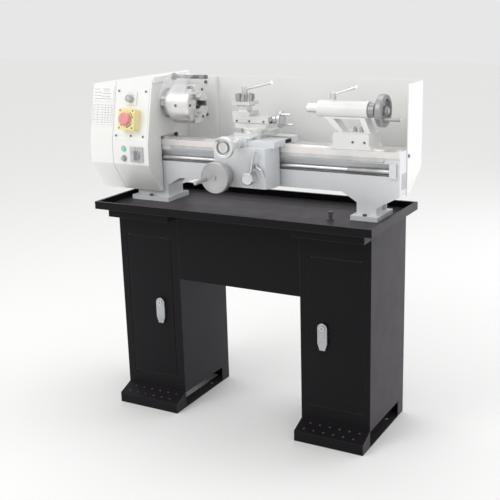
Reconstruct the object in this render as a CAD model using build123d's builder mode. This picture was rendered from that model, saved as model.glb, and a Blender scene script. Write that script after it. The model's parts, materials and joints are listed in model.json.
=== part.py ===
"""Bench lathe on a cabinet stand, one solid per real piece.

Frame: origin on the floor at the centre of the stand's anchor holes, +X from
the headstock to the tailstock, +Y away from the operator, +Z up. Millimetres.
"""
import os
from math import atan2, cos, degrees, radians, sin, sqrt, tan

from build123d import *

os.makedirs("parts", exist_ok=True)

# ---- driving dimensions -------------------------------------------------
SHEET = 2.0  # sheet steel of the stand, the tray and the splash guard
RUN = 0.3  # running clearance between faces that slide on each other
FIT = 0.05  # radial clearance of a shaft in its bore

# stand
CABINET_INNER_X = 211.5  # each cabinet's side nearest the middle
CABINET_WIDTH = 224.0
CABINET_FRONT_Y = -107.0
CABINET_DEPTH = 280.0
TRAY_FLOOR_Z = 668.0  # upper face of the tray's floor
TRAY_LENGTH = 934.0
TRAY_DEPTH = 372.0
TRAY_RIM = 22.0  # rim's height above the tray's floor
RIM_FOLD = 9.0  # width of the folded rim
DRAIN_AT = (282.0, -42.0)
DRAIN_R = 6.0
DOOR_LOW_Z = 104.0
DOOR_HEIGHT = 466.0
DOOR_EDGE_INNER = 31.0  # from the cabinet's inner side to the door
DOOR_EDGE_OUTER = 26.0
DOOR_GAP = 2.5
DOOR_DEPTH = 16.0
PIVOT_INSET = 5.0  # hinge pin's axis from the door's edge and face
PIN_R = 2.0
SIDE_CUT_HEIGHT = 52.0
SIDE_CUT_REAR_Y = 128.0
ANCHOR_Y = 95.0  # half the anchor holes' spacing from front to back
ANCHOR_R = 5.5
ANCHOR_FLANGE = 40.0
STEP_DEPTH = 55.0  # foot rest
STEP_BACK_Z = 54.0
STEP_FRONT_Z = 33.0
BRACKET_DEPTH = 53.0
BRACKET_HEIGHT = 28.0
PANEL_LOW_Z = 442.0
LATCH_HEIGHT = 86.0
LATCH_WIDTH = 32.0
LATCH_TOP_Z = 373.0
LATCH_FROM_EDGE = 44.0

# bed
CENTRE_Y = 40.0  # line of the spindle, the bed and the tailstock
BED_WIDTH = 96.0
BED_LEFT_X = -440.0
BED_RIGHT_X = 477.0
BED_HEIGHT = 202.0  # from the tray's floor to the top of the ways
BED_RAIL_HEIGHT = 124.0
WAY_FACE = 18.0  # height of the ground front face of the ways
WAY_STEP = 5.0  # how far the ways stand out over the bed's side
VEE_HALF = 8.0
VEE_HEIGHT = 6.0
VEE_FROM_FRONT = 14.0
RAIL_WIDTH = 32.0
CHANNEL_DROP = 35.0  # from the top of the ways to the recess for the lead screw
CHANNEL_HEIGHT = 36.0
CHANNEL_DEPTH = 18.0
CHANNEL_END = 8.0  # wall that closes the recess at the right end
WINDOW_LEFT_X = -300.0  # first opening between the two rails
WINDOW_LENGTH = 94.0
WINDOW_PITCH = 110.0
WINDOWS = 6
FOOT_WALL = 12.0
FOOT_FLANGE = 14.0
FOOT_STEP = 12.0
BOLT_R = 4.0
LEFT_FOOT = (-440.0, -298.0)
RIGHT_FOOT = (335.0, 420.0)
RACK_PITCH = 6.0

# headstock
CENTRE_HEIGHT = 109.0  # of the spindle over the ways
SPINDLE_R = 20.0
SPINDLE_BORE_R = 9.0
SPINDLE_TAIL_R = 12.0
HEAD_RIGHT_X = -323.0
COVER_SEAM_X = -460.0
HEAD_LEFT_X = -553.0
COVER_WALL = 2.5
COVER_BACK_Y = 175.0
COVER_LOW_Y = -25.0  # lower front corner
COVER_FRONT_Y = -84.0
COVER_LIFT = 35.0  # of the casing over the tray's floor
COVER_MID_DROP = 75.0  # from the ways to the foot of the upright front
KNEE_DROP = 8.0  # from the ways to the foot of the leaning face
LEAN = (44.0, 198.0)  # run and rise of the leaning face
COVER_TOP_RIGHT = 93.0  # heights of the top over the spindle
COVER_TOP_LEFT = 64.0
CHUCK_R = 62.5
CHUCK_FACE_X = -208.0
CHUCK_LENGTH = 75.0
BACKPLATE = 15.0
JAW_WIDTH = 16.0
JAW_OUT = 18.0  # how far the jaws stand out of the chuck's face
JAW_IN_R = 20.0
JAW_LENGTH = 34.0
MODULE = 2.0
SPINDLE_TEETH = 20
SCREW_TEETH = 60
GEAR_X = -500.0
GEAR_WIDTH = 12.0
PULLEY_X = -484.0
PULLEY_WIDTH = 20.0
SPINDLE_PULLEY_R = 40.0
MOTOR_PULLEY_R = 20.0
MOTOR_Y = 133.0
MOTOR_DROP = 80.0  # of the motor's shaft under the ways
MOTOR_R = 34.0
GUARD_R = 98.0

# lead screw
SCREW_R = 8.0
SCREW_FROM_FRONT = 10.0  # of the screw's axis behind the ways' front
SCREW_DROP = 59.0  # of the screw's axis under the ways

# carriage
SADDLE_X = (-84.0, 113.0)
SADDLE_Y = (-62.0, 100.0)
SADDLE_THICK = 18.0
APRON_X = (-86.0, 103.0)
APRON_OUT = 72.0  # of the apron's face in front of the ways
APRON_GAP = 4.0  # between the ways' front and the apron
APRON_DROP = 120.0  # of the apron's lower edge under the ways
APRON_WALL = 8.0
DOVETAIL_HEIGHT = 8.5
DOVETAIL_ANGLE = 30.0
CROSS_HALF = 45.0
CROSS_Y = (-28.0, 110.0)
CROSS_THICK = 17.0
TOP_SLIDE_Y = 25.0  # centre line of the compound slide
SWIVEL_R = 40.0
SWIVEL_THICK = 11.0
LOWER_SLIDE_THICK = 13.5
TOP_SLIDE_X = (-58.0, 66.0)
TOP_SLIDE_HALF = 34.0
TOP_SLIDE_THICK = 23.5
POST_X = -30.0
POST_HALF = 30.0
POST_SLOT_LOW = 13.0  # from the compound slide's top to the tool slots
POST_SLOT_HIGH = 32.0
POST_HEIGHT = 43.0
POST_CORE_HALF = 15.0
CROSS_AXIS_DROP = 5.0  # of the cross screw's axis under the saddle's top
CROSS_WHEEL_Y = -150.0
CROSS_WHEEL_R = 32.0
APRON_AXIS_X = -51.0
APRON_WHEEL_R = 48.0
NUT_AXIS_X = 48.0
APRON_AXIS_DROP = 85.0  # of both axes under the ways
LOCK_AXIS_X = 63.0
LOCK_AXIS_DROP = 51.0

# tailstock
TAIL_X = (264.0, 393.0)
TAIL_HALF = 45.0
BARREL_X = (210.0, 361.0)
BARREL_R = 24.0
QUILL_R = 15.0
QUILL_OUT = 36.0
QUILL_LENGTH = 140.0
QUILL_SCREW_R = 7.0
QUILL_SCREW = 98.0  # length of the screw in front of the handwheel's hub
TAIL_WHEEL_X = 398.0
TAIL_WHEEL_R = 47.0

# splash guard
SPLASH_TOP = 75.0  # of the guard's upper edge over the spindle
SPLASH_DROP = 70.0  # of its lower edge under the ways
WING_DROP = 135.0
SPLASH_STEP_X = -213.0
SPLASH_STEP_Y = 153.0

# ---- values worked out from them ----------------------------------------
CABINET_BACK_Y = CABINET_FRONT_Y + CABINET_DEPTH
CABINET_OUTER_X = CABINET_INNER_X + CABINET_WIDTH
CABINET_TOP_Z = TRAY_FLOOR_Z - SHEET
BED_TOP_Z = TRAY_FLOOR_Z + BED_HEIGHT
BED_LOW_Z = BED_TOP_Z - BED_RAIL_HEIGHT
CHANNEL_TOP_Z = BED_TOP_Z - CHANNEL_DROP
CHANNEL_LOW_Z = CHANNEL_TOP_Z - CHANNEL_HEIGHT
SPINDLE_Z = BED_TOP_Z + CENTRE_HEIGHT
SCREW_Z = BED_TOP_Z - SCREW_DROP
MOTOR_Z = BED_TOP_Z - MOTOR_DROP
COVER_LOW = (COVER_LOW_Y, TRAY_FLOOR_Z + COVER_LIFT)
COVER_MID = (COVER_FRONT_Y, BED_TOP_Z - COVER_MID_DROP)
COVER_KNEE = (COVER_FRONT_Y, BED_TOP_Z - KNEE_DROP)
COVER_TOP_RIGHT_Z = SPINDLE_Z + COVER_TOP_RIGHT
COVER_TOP_LEFT_Z = SPINDLE_Z + COVER_TOP_LEFT
SADDLE_TOP_Z = BED_TOP_Z + SADDLE_THICK
APRON_LOW_Z = BED_TOP_Z - APRON_DROP
CROSS_TOP_Z = SADDLE_TOP_Z + CROSS_THICK
SWIVEL_TOP_Z = CROSS_TOP_Z + SWIVEL_THICK
LOWER_SLIDE_TOP_Z = SWIVEL_TOP_Z + LOWER_SLIDE_THICK
TOP_SLIDE_TOP_Z = LOWER_SLIDE_TOP_Z + TOP_SLIDE_THICK
POST_SLOT_Z = (TOP_SLIDE_TOP_Z + POST_SLOT_LOW, TOP_SLIDE_TOP_Z + POST_SLOT_HIGH)
POST_TOP_Z = TOP_SLIDE_TOP_Z + POST_HEIGHT
CROSS_AXIS_Z = SADDLE_TOP_Z - CROSS_AXIS_DROP
APRON_AXIS = (APRON_AXIS_X, BED_TOP_Z - APRON_AXIS_DROP)
NUT_AXIS = (NUT_AXIS_X, BED_TOP_Z - APRON_AXIS_DROP)
LOCK_AXIS = (LOCK_AXIS_X, BED_TOP_Z - LOCK_AXIS_DROP)
SPLASH_TOP_Z = SPINDLE_Z + SPLASH_TOP
SPLASH_LOW_Z = BED_TOP_Z - SPLASH_DROP
BED_FRONT_Y = CENTRE_Y - BED_WIDTH / 2
BED_BACK_Y = CENTRE_Y + BED_WIDTH / 2
SCREW_Y = BED_FRONT_Y + SCREW_FROM_FRONT
APRON_FRONT_Y = BED_FRONT_Y - APRON_OUT
APRON_BACK_Y = BED_FRONT_Y - APRON_GAP
VEE_Y = BED_FRONT_Y + VEE_FROM_FRONT
BED_SIDE_Y = BED_FRONT_Y + WAY_STEP
BOLT_Y = (BED_FRONT_Y - FOOT_STEP / 2 - 1.0, BED_BACK_Y + FOOT_STEP / 2 + 1.0)
WAY_LOW_Z = BED_TOP_Z - WAY_FACE
LEAN_DEGREES = degrees(atan2(*LEAN))
nodes = {}


def plane_x(x):
    """Plane at x that faces +X; its own axes are Y and Z."""
    return Plane.YZ.offset(x)


def plane_y(y):
    """Plane at y that faces the operator; its own axes are X and Z."""
    return Plane.XZ.offset(-y)


def plane_z(z):
    """Plane at z that faces up; its own axes are X and Y."""
    return Plane.XY.offset(z)


def leaning_plane(x, z, out=0.0):
    """Plane on the headstock's leaning face at height z, facing out of it."""
    rise = radians(LEAN_DEGREES)
    y = COVER_KNEE[0] + (z - COVER_KNEE[1]) * tan(rise)
    normal = (0, -cos(rise), sin(rise))
    origin = (x, y + normal[1] * out, z + normal[2] * out)
    return Plane(origin=origin, x_dir=(1, 0, 0), z_dir=normal)


def disc(plane, centre, radius, length, mode=Mode.ADD):
    """Round bar or hole along the plane's normal."""
    with BuildSketch(plane) as outline:
        with Locations(centre):
            Circle(radius)
    extrude(outline.sketch, amount=length, mode=mode)


def block(plane, low, high, length, mode=Mode.ADD):
    """Rectangular bar or hole between two corners of the plane."""
    with BuildSketch(plane) as outline:
        with Locations(((low[0] + high[0]) / 2, (low[1] + high[1]) / 2)):
            Rectangle(high[0] - low[0], high[1] - low[1])
    extrude(outline.sketch, amount=length, mode=mode)


def profile(plane, points, length, mode=Mode.ADD):
    """Straight-sided outline pushed along the plane's normal."""
    with BuildSketch(plane) as outline:
        with BuildLine():
            Polyline(*points, close=True)
        make_face()
    extrude(outline.sketch, amount=length, mode=mode)


def rod(start, end, start_r, end_r, mode=Mode.ADD):
    """Round bar, straight or tapered, between two points."""
    axis = Vector(*end) - Vector(*start)
    here = Plane(origin=start, z_dir=axis)
    there = Plane(origin=end, z_dir=axis, x_dir=here.x_dir)
    with BuildSketch(here) as first:
        Circle(start_r)
    with BuildSketch(there) as last:
        Circle(end_r)
    loft([first.sketch.faces()[0], last.sketch.faces()[0]], ruled=True, mode=mode)


def keep(builder, name):
    """Label a finished piece and set it aside for writing."""
    builder.part.label = name
    nodes[name] = builder


def span(side, inner, outer):
    """X range of something on the left (-1) or right (+1) cabinet."""
    return (inner, outer) if side > 0 else (-outer, -inner)


# ---- stand --------------------------------------------------------------
DOOR_INNER_X = CABINET_INNER_X + DOOR_EDGE_INNER
DOOR_OUTER_X = CABINET_OUTER_X - DOOR_EDGE_OUTER
DOOR_TOP_Z = DOOR_LOW_Z + DOOR_HEIGHT
PIVOT_X = DOOR_OUTER_X - PIVOT_INSET
PIVOT_Y = CABINET_FRONT_Y + PIVOT_INSET
FRAME_FOLD = DOOR_DEPTH + 2.0


def make_cabinet(side):
    low_x, high_x = span(side, CABINET_INNER_X, CABINET_OUTER_X)
    open_x = span(side, DOOR_INNER_X - DOOR_GAP, DOOR_OUTER_X + DOOR_GAP)
    open_z = (DOOR_LOW_Z - DOOR_GAP, DOOR_TOP_Z + DOOR_GAP)
    floor_z = DOOR_LOW_Z - DOOR_GAP - SHEET
    with BuildPart() as cabinet:
        block(plane_z(0), (low_x, CABINET_FRONT_Y), (high_x, CABINET_BACK_Y), CABINET_TOP_Z)
        block(plane_z(floor_z + SHEET), (low_x + SHEET, CABINET_FRONT_Y + SHEET),
              (high_x - SHEET, CABINET_BACK_Y - SHEET), CABINET_TOP_Z - floor_z - 2 * SHEET,
              Mode.SUBTRACT)
        block(plane_z(0), (low_x + SHEET, CABINET_FRONT_Y + SHEET),
              (high_x - SHEET, CABINET_BACK_Y - SHEET), floor_z, Mode.SUBTRACT)
        # folded frame round the door opening
        block(plane_y(CABINET_FRONT_Y + FRAME_FOLD),
              (open_x[0] - SHEET, open_z[0] - SHEET), (open_x[1] + SHEET, open_z[1] + SHEET),
              FRAME_FOLD)
        block(plane_y(CABINET_FRONT_Y + FRAME_FOLD),
              (open_x[0], open_z[0]), (open_x[1], open_z[1]), FRAME_FOLD, Mode.SUBTRACT)
        # cut-out at the foot of both sides, and the flanges that bolt to the floor
        block(plane_x(low_x), (CABINET_FRONT_Y + SHEET, 0), (SIDE_CUT_REAR_Y, SIDE_CUT_HEIGHT),
              CABINET_WIDTH, Mode.SUBTRACT)
        for edge, turn in ((low_x, 1), (high_x, -1)):
            flange = sorted((edge, edge + turn * ANCHOR_FLANGE))
            block(plane_z(0), (flange[0], CABINET_FRONT_Y), (flange[1], CABINET_BACK_Y), SHEET)
            for y in (-ANCHOR_Y, ANCHOR_Y):
                disc(plane_z(0), (edge + turn * ANCHOR_FLANGE * 0.6, y), ANCHOR_R, SHEET,
                     Mode.SUBTRACT)
        for z in (open_z[0] - SHEET, open_z[1]):
            disc(plane_z(z), (side * PIVOT_X, PIVOT_Y), PIN_R + FIT, SHEET, Mode.SUBTRACT)
        for x in (LEFT_FOOT, RIGHT_FOOT):
            for y in BOLT_Y:
                disc(plane_z(CABINET_TOP_Z - SHEET), (sum(x) / 2, y), BOLT_R + FIT, SHEET,
                     Mode.SUBTRACT)
        disc(plane_z(CABINET_TOP_Z - SHEET), DRAIN_AT, DRAIN_R + 2.0, SHEET, Mode.SUBTRACT)
    return cabinet


keep(make_cabinet(-1), "left_cabinet")
keep(make_cabinet(1), "right_cabinet")

with BuildPart() as centre_panel:
    block(plane_z(PANEL_LOW_Z), (-CABINET_INNER_X, CABINET_FRONT_Y),
          (CABINET_INNER_X, CABINET_FRONT_Y + 20.0), CABINET_TOP_Z - PANEL_LOW_Z)
    offset(amount=-SHEET, openings=centre_panel.faces().sort_by(Axis.Y)[-1])
keep(centre_panel, "centre_panel")

with BuildPart() as tray_brackets:
    for side in (-1, 1):
        low_x, high_x = span(side, CABINET_INNER_X, CABINET_OUTER_X)
        low_z = CABINET_TOP_Z - BRACKET_HEIGHT
        block(plane_z(low_z), (low_x, CABINET_FRONT_Y - BRACKET_DEPTH),
              (high_x, CABINET_FRONT_Y), BRACKET_HEIGHT)
        block(plane_z(low_z + SHEET), (low_x + SHEET, CABINET_FRONT_Y - BRACKET_DEPTH + SHEET),
              (high_x - SHEET, CABINET_FRONT_Y), BRACKET_HEIGHT, Mode.SUBTRACT)
keep(tray_brackets, "tray_brackets")

with BuildPart() as foot_rests:
    for side in (-1, 1):
        low_x, high_x = span(side, CABINET_INNER_X, CABINET_OUTER_X)
        front = CABINET_FRONT_Y - STEP_DEPTH
        profile(plane_x(low_x), [(CABINET_FRONT_Y, 0), (CABINET_FRONT_Y, STEP_BACK_Z),
                                 (front, STEP_FRONT_Z), (front, 0)], CABINET_WIDTH)
        profile(plane_x(low_x + SHEET),
                [(CABINET_FRONT_Y, 0), (CABINET_FRONT_Y, STEP_BACK_Z - SHEET),
                 (front + SHEET, STEP_FRONT_Z - SHEET), (front + SHEET, 0)],
                CABINET_WIDTH - 2 * SHEET, Mode.SUBTRACT)
keep(foot_rests, "foot_rests")

with BuildPart() as chip_tray:
    half = (TRAY_LENGTH / 2, TRAY_DEPTH / 2)
    rim_z = TRAY_FLOOR_Z + TRAY_RIM

    def tray_block(low_z, inset, height, mode=Mode.ADD):
        block(plane_z(low_z), (inset - half[0], inset - half[1]),
              (half[0] - inset, half[1] - inset), height, mode)

    tray_block(CABINET_TOP_Z, 0, TRAY_RIM + SHEET)
    tray_block(TRAY_FLOOR_Z, SHEET, TRAY_RIM - SHEET, Mode.SUBTRACT)
    tray_block(rim_z - SHEET, RIM_FOLD, SHEET, Mode.SUBTRACT)
    for x in (LEFT_FOOT, RIGHT_FOOT):
        for y in BOLT_Y:
            disc(plane_z(CABINET_TOP_Z), (sum(x) / 2, y), BOLT_R + FIT, SHEET, Mode.SUBTRACT)
    disc(plane_z(CABINET_TOP_Z), DRAIN_AT, DRAIN_R + FIT, SHEET, Mode.SUBTRACT)
keep(chip_tray, "chip_tray")

with BuildPart() as drain_plug:
    disc(plane_z(CABINET_TOP_Z - SHEET), DRAIN_AT, DRAIN_R, 26.0)
    disc(plane_z(TRAY_FLOOR_Z), DRAIN_AT, 10.0, 4.0)
    with BuildSketch(plane_z(TRAY_FLOOR_Z + 18.0)) as grip:
        with Locations(DRAIN_AT):
            RegularPolygon(9.0, 6)
    extrude(grip.sketch, amount=7.0)
keep(drain_plug, "drain_plug")


def make_door(side):
    low_x, high_x = span(side, DOOR_INNER_X, DOOR_OUTER_X)
    with BuildPart() as door:
        block(plane_z(DOOR_LOW_Z), (low_x, CABINET_FRONT_Y),
              (high_x, CABINET_FRONT_Y + DOOR_DEPTH), DOOR_HEIGHT)
        fillet(door.edges().filter_by(Axis.Z).group_by(Axis.Y)[0], 1.5)
        offset(amount=-SHEET, openings=door.faces().sort_by(Axis.Y)[-1])
        for z in (DOOR_LOW_Z, DOOR_TOP_Z - SHEET):
            disc(plane_z(z), (side * PIVOT_X, PIVOT_Y), PIN_R + FIT, SHEET, Mode.SUBTRACT)
    return door


keep(make_door(-1), "left_door")
keep(make_door(1), "right_door")

LATCH_X = DOOR_INNER_X + LATCH_FROM_EDGE
LATCH_THICK = 11.0
LATCH_PIVOT_Z = LATCH_TOP_Z - LATCH_WIDTH / 2


def make_latch(side):
    x = side * LATCH_X
    half = LATCH_WIDTH / 2
    with BuildPart() as latch:
        with BuildSketch(plane_y(CABINET_FRONT_Y - RUN)) as outline:
            with Locations((x, LATCH_PIVOT_Z)):
                Circle(half)
            with BuildLine():
                Polyline((x - half, LATCH_PIVOT_Z), (x - half, LATCH_TOP_Z - LATCH_HEIGHT + 22),
                         (x - half + 7, LATCH_TOP_Z - LATCH_HEIGHT),
                         (x + half - 7, LATCH_TOP_Z - LATCH_HEIGHT),
                         (x + half, LATCH_TOP_Z - LATCH_HEIGHT + 22),
                         (x + half, LATCH_PIVOT_Z), close=True)
            make_face()
        extrude(outline.sketch, amount=LATCH_THICK)
        fillet(latch.faces().sort_by(Axis.Y)[0].edges(), 2.5)
        disc(plane_y(CABINET_FRONT_Y - RUN - LATCH_THICK), (x, LATCH_PIVOT_Z), 8.5, 2.0)
    return latch


keep(make_latch(-1), "left_latch")
keep(make_latch(1), "right_latch")

# ---- bed ----------------------------------------------------------------
HAUNCH = 46.0  # slope of the bed's underside beside each foot
END_POCKET = 12.0  # depths of the cored pockets
FOOT_POCKET = 8.0


def vee_notch(x_low, x_high, mode=Mode.SUBTRACT):
    """Clearance over the raised way, cut from whatever rides on the bed."""
    half = VEE_HALF + RUN
    profile(plane_x(x_low), [(VEE_Y - half, BED_TOP_Z), (VEE_Y, BED_TOP_Z + VEE_HEIGHT + RUN * 2),
                             (VEE_Y + half, BED_TOP_Z)], x_high - x_low, mode)


with BuildPart() as bed:
    for x in (LEFT_FOOT, RIGHT_FOOT):
        block(plane_z(TRAY_FLOOR_Z), (x[0], BED_FRONT_Y - FOOT_FLANGE),
              (x[1], BED_BACK_Y + FOOT_FLANGE), FOOT_FLANGE)
        fillet(bed.faces().sort_by(Axis.X)[-1].edges().filter_by(Axis.Z), 3.0)
    left_leg = (LEFT_FOOT[0] + FOOT_STEP, LEFT_FOOT[1] - FOOT_STEP)
    right_leg = (RIGHT_FOOT[0] + FOOT_STEP, RIGHT_FOOT[1] - FOOT_STEP)
    leg_z = TRAY_FLOOR_Z + FOOT_FLANGE
    profile(plane_y(BED_BACK_Y - WAY_STEP),
            [(BED_LEFT_X, BED_TOP_Z), (BED_LEFT_X, BED_LOW_Z), (left_leg[0], BED_LOW_Z - 20),
             (left_leg[0], leg_z), (left_leg[1], leg_z), (left_leg[1], BED_LOW_Z - 28),
             (left_leg[1] + HAUNCH, BED_LOW_Z), (right_leg[0] - HAUNCH, BED_LOW_Z),
             (right_leg[0], BED_LOW_Z - 28), (right_leg[0], leg_z), (right_leg[1], leg_z),
             (right_leg[1], BED_LOW_Z - 42), (BED_RIGHT_X, BED_LOW_Z - 4),
             (BED_RIGHT_X, BED_TOP_Z)], BED_WIDTH - 2 * WAY_STEP)
    block(plane_x(BED_LEFT_X), (BED_FRONT_Y, WAY_LOW_Z), (BED_BACK_Y, BED_TOP_Z),
          BED_RIGHT_X - BED_LEFT_X)
    profile(plane_x(BED_LEFT_X), [(VEE_Y - VEE_HALF, BED_TOP_Z),
                                  (VEE_Y, BED_TOP_Z + VEE_HEIGHT),
                                  (VEE_Y + VEE_HALF, BED_TOP_Z)], BED_RIGHT_X - BED_LEFT_X)
    block(plane_x(BED_LEFT_X), (BED_SIDE_Y, CHANNEL_LOW_Z),
          (BED_SIDE_Y + CHANNEL_DEPTH, CHANNEL_TOP_Z), BED_RIGHT_X - BED_LEFT_X - CHANNEL_END,
          Mode.SUBTRACT)
    # open windows between the ribs that tie the two rails together
    window_y = (BED_FRONT_Y + RAIL_WIDTH, BED_BACK_Y - RAIL_WIDTH)
    for window in range(WINDOWS):
        x = WINDOW_LEFT_X + window * WINDOW_PITCH
        block(plane_z(BED_LOW_Z), (x, window_y[0]), (x + WINDOW_LENGTH, window_y[1]),
              BED_RAIL_HEIGHT, Mode.SUBTRACT)
    # hollow feet
    for leg in (left_leg, right_leg):
        block(plane_z(TRAY_FLOOR_Z), (leg[0] + FOOT_WALL, BED_SIDE_Y + FOOT_WALL),
              (leg[1] - FOOT_WALL, BED_BACK_Y - WAY_STEP - FOOT_WALL),
              BED_LOW_Z + FOOT_WALL - TRAY_FLOOR_Z, Mode.SUBTRACT)
    for x in (LEFT_FOOT, RIGHT_FOOT):
        for y in BOLT_Y:
            disc(plane_z(TRAY_FLOOR_Z), (sum(x) / 2, y), BOLT_R + FIT, FOOT_FLANGE, Mode.SUBTRACT)
    # pocket in the right end and in the right foot
    block(plane_x(BED_RIGHT_X - END_POCKET), (BED_BACK_Y - 36, BED_LOW_Z + 4),
          (BED_BACK_Y - 10, BED_LOW_Z + 46), END_POCKET, Mode.SUBTRACT)
    block(plane_x(right_leg[1] - FOOT_POCKET), (BED_BACK_Y - 46, leg_z + 4),
          (BED_BACK_Y - 16, leg_z + 34), FOOT_POCKET, Mode.SUBTRACT)
keep(bed, "bed")

RACK_X = (-290.0, 430.0)
RACK_LOW_Z = WAY_LOW_Z - 14.0
with BuildPart() as rack:
    points = [(RACK_X[0], WAY_LOW_Z), (RACK_X[0], RACK_LOW_Z)]
    for tooth in range(int((RACK_X[1] - RACK_X[0]) / RACK_PITCH)):
        x = RACK_X[0] + tooth * RACK_PITCH
        points += [(x + 2.0, RACK_LOW_Z), (x + 3.2, RACK_LOW_Z + 3.0), (x + 4.4, RACK_LOW_Z + 3.0),
                   (x + 5.6, RACK_LOW_Z)]
    points += [(RACK_X[1], RACK_LOW_Z), (RACK_X[1], WAY_LOW_Z)]
    profile(plane_y(BED_SIDE_Y), points, WAY_STEP - 1.0)
keep(rack, "rack")

# ---- lead screw and change gears ----------------------------------------
screw_at = (SCREW_Y, SCREW_Z)
spindle_at = (CENTRE_Y, SPINDLE_Z)
across = (screw_at[0] - spindle_at[0], screw_at[1] - spindle_at[1])
centres = sqrt(across[0] ** 2 + across[1] ** 2)
PITCH_PER_TOOTH = MODULE / 2
IDLER_SLACK = 1.6  # in teeth; it keeps the idler's stud in front of the belt
# as many teeth as the idler needs to reach from one gear to the other
IDLER_TEETH = int((centres / PITCH_PER_TOOTH - SPINDLE_TEETH - SCREW_TEETH + IDLER_SLACK) / 2) + 1
near = PITCH_PER_TOOTH * (SPINDLE_TEETH + IDLER_TEETH)
far = PITCH_PER_TOOTH * (IDLER_TEETH + SCREW_TEETH)
along = (near ** 2 - far ** 2 + centres ** 2) / (2 * centres)
aside = sqrt(near ** 2 - along ** 2)
unit = (across[0] / centres, across[1] / centres)
idler_at = (spindle_at[0] + along * unit[0] + aside * unit[1],
            spindle_at[1] + along * unit[1] - aside * unit[0])


def heading(start, end):
    """Direction from one shaft to the next, in degrees from +Y towards +Z."""
    return degrees(atan2(end[1] - start[1], end[0] - start[0]))


def gear(centre, teeth, phase, bore):
    """Spur gear with straight-flanked teeth; phase turns one tooth to that angle."""
    pitch_r = MODULE * teeth / 2
    with BuildSketch(plane_x(GEAR_X)) as outline:
        with Locations(centre):
            Circle(pitch_r - 1.2 * MODULE)
            with PolarLocations(0, teeth, start_angle=phase):
                Polygon((pitch_r - 1.6 * MODULE, -0.95 * MODULE),
                        (pitch_r, -0.66 * MODULE), (pitch_r + 0.85 * MODULE, -0.30 * MODULE),
                        (pitch_r + 0.85 * MODULE, 0.30 * MODULE), (pitch_r, 0.66 * MODULE),
                        (pitch_r - 1.6 * MODULE, 0.95 * MODULE), align=None)
            Circle(bore, mode=Mode.SUBTRACT)
    extrude(outline.sketch, amount=GEAR_WIDTH)


STUD_R = 5.0
SCREW_END_R = 6.0
first_line = heading(spindle_at, idler_at)
second_line = heading(idler_at, screw_at)
idler_phase = first_line + 180.0 + 180.0 / IDLER_TEETH
idler_turn = (second_line - idler_phase) / (360.0 / IDLER_TEETH)
idler_offset = (idler_turn - round(idler_turn)) * 360.0 / IDLER_TEETH
screw_phase = second_line + 180.0 + 180.0 / SCREW_TEETH + idler_offset * IDLER_TEETH / SCREW_TEETH

with BuildPart() as spindle_gear:
    gear(spindle_at, SPINDLE_TEETH, first_line, SPINDLE_TAIL_R)
keep(spindle_gear, "spindle_gear")

with BuildPart() as idler_gear:
    gear(idler_at, IDLER_TEETH, idler_phase, STUD_R + FIT)
keep(idler_gear, "idler_gear")

with BuildPart() as screw_gear:
    gear(screw_at, SCREW_TEETH, screw_phase, SCREW_END_R)
keep(screw_gear, "screw_gear")

SCREW_RIGHT_X = BED_RIGHT_X - 9.0
with BuildPart() as lead_screw:
    shoulder_x = GEAR_X + GEAR_WIDTH
    disc(plane_x(GEAR_X - 3.0), screw_at, SCREW_END_R, GEAR_WIDTH + 3.0)
    disc(plane_x(shoulder_x), screw_at, SCREW_R, SCREW_RIGHT_X - 24.0 - shoulder_x)
    disc(plane_x(SCREW_RIGHT_X - 24.0), screw_at, SCREW_END_R, 24.0)
keep(lead_screw, "lead_screw")

with BuildPart() as screw_bracket:
    block(plane_x(SCREW_RIGHT_X - 20.0), (BED_SIDE_Y - 8.0, CHANNEL_LOW_Z - 4.0),
          (BED_SIDE_Y, CHANNEL_TOP_Z + 3.0), 20.0)
    block(plane_x(SCREW_RIGHT_X - 20.0), (BED_SIDE_Y, CHANNEL_LOW_Z),
          (BED_SIDE_Y + CHANNEL_DEPTH, CHANNEL_TOP_Z), 14.0)
    disc(plane_x(SCREW_RIGHT_X - 20.0), screw_at, SCREW_END_R + FIT, 20.0, Mode.SUBTRACT)
keep(screw_bracket, "screw_bracket")

# ---- headstock ----------------------------------------------------------
CAST_X = (-440.0, -331.0)
PLATE_X = (-450.0, -440.0)
BEARING_R = 31.0
BEARING_WIDTH = 15.0
CAST_HALF = 40.0  # of the casting across the bed
CAST_OVER = 44.0  # of the casting over the spindle

with BuildPart() as headstock:
    block(plane_x(CAST_X[0]), (CENTRE_Y - CAST_HALF, BED_TOP_Z),
          (CENTRE_Y + CAST_HALF, SPINDLE_Z + CAST_OVER), CAST_X[1] - CAST_X[0])
    fillet(headstock.faces().sort_by(Axis.Z)[-1].edges().filter_by(Axis.X), 18.0)
    block(plane_x(PLATE_X[0]), (CENTRE_Y - 70.0, BED_TOP_Z - 110.0),
          (COVER_BACK_Y - 8.0, SPINDLE_Z + CAST_OVER), PLATE_X[1] - PLATE_X[0])
    vee_notch(*CAST_X)
    disc(plane_x(PLATE_X[0]), spindle_at, SPINDLE_R + 4.0, CAST_X[1] - PLATE_X[0], Mode.SUBTRACT)
    for x in (CAST_X[0], CAST_X[1] - BEARING_WIDTH):
        disc(plane_x(x), spindle_at, BEARING_R + FIT / 2, BEARING_WIDTH, Mode.SUBTRACT)
    disc(plane_x(PLATE_X[0]), screw_at, SCREW_R + FIT, 10.0, Mode.SUBTRACT)
    disc(plane_x(PLATE_X[0]), (MOTOR_Y, MOTOR_Z), 8.0, 10.0, Mode.SUBTRACT)
    # stud that carries the idler gear
    disc(plane_x(GEAR_X - 2.0), idler_at, STUD_R, PLATE_X[0] - GEAR_X + 2.0)
    disc(plane_x(GEAR_X + GEAR_WIDTH + RUN), idler_at, 9.0,
         PLATE_X[0] - GEAR_X - GEAR_WIDTH - RUN)
keep(headstock, "headstock")

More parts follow.
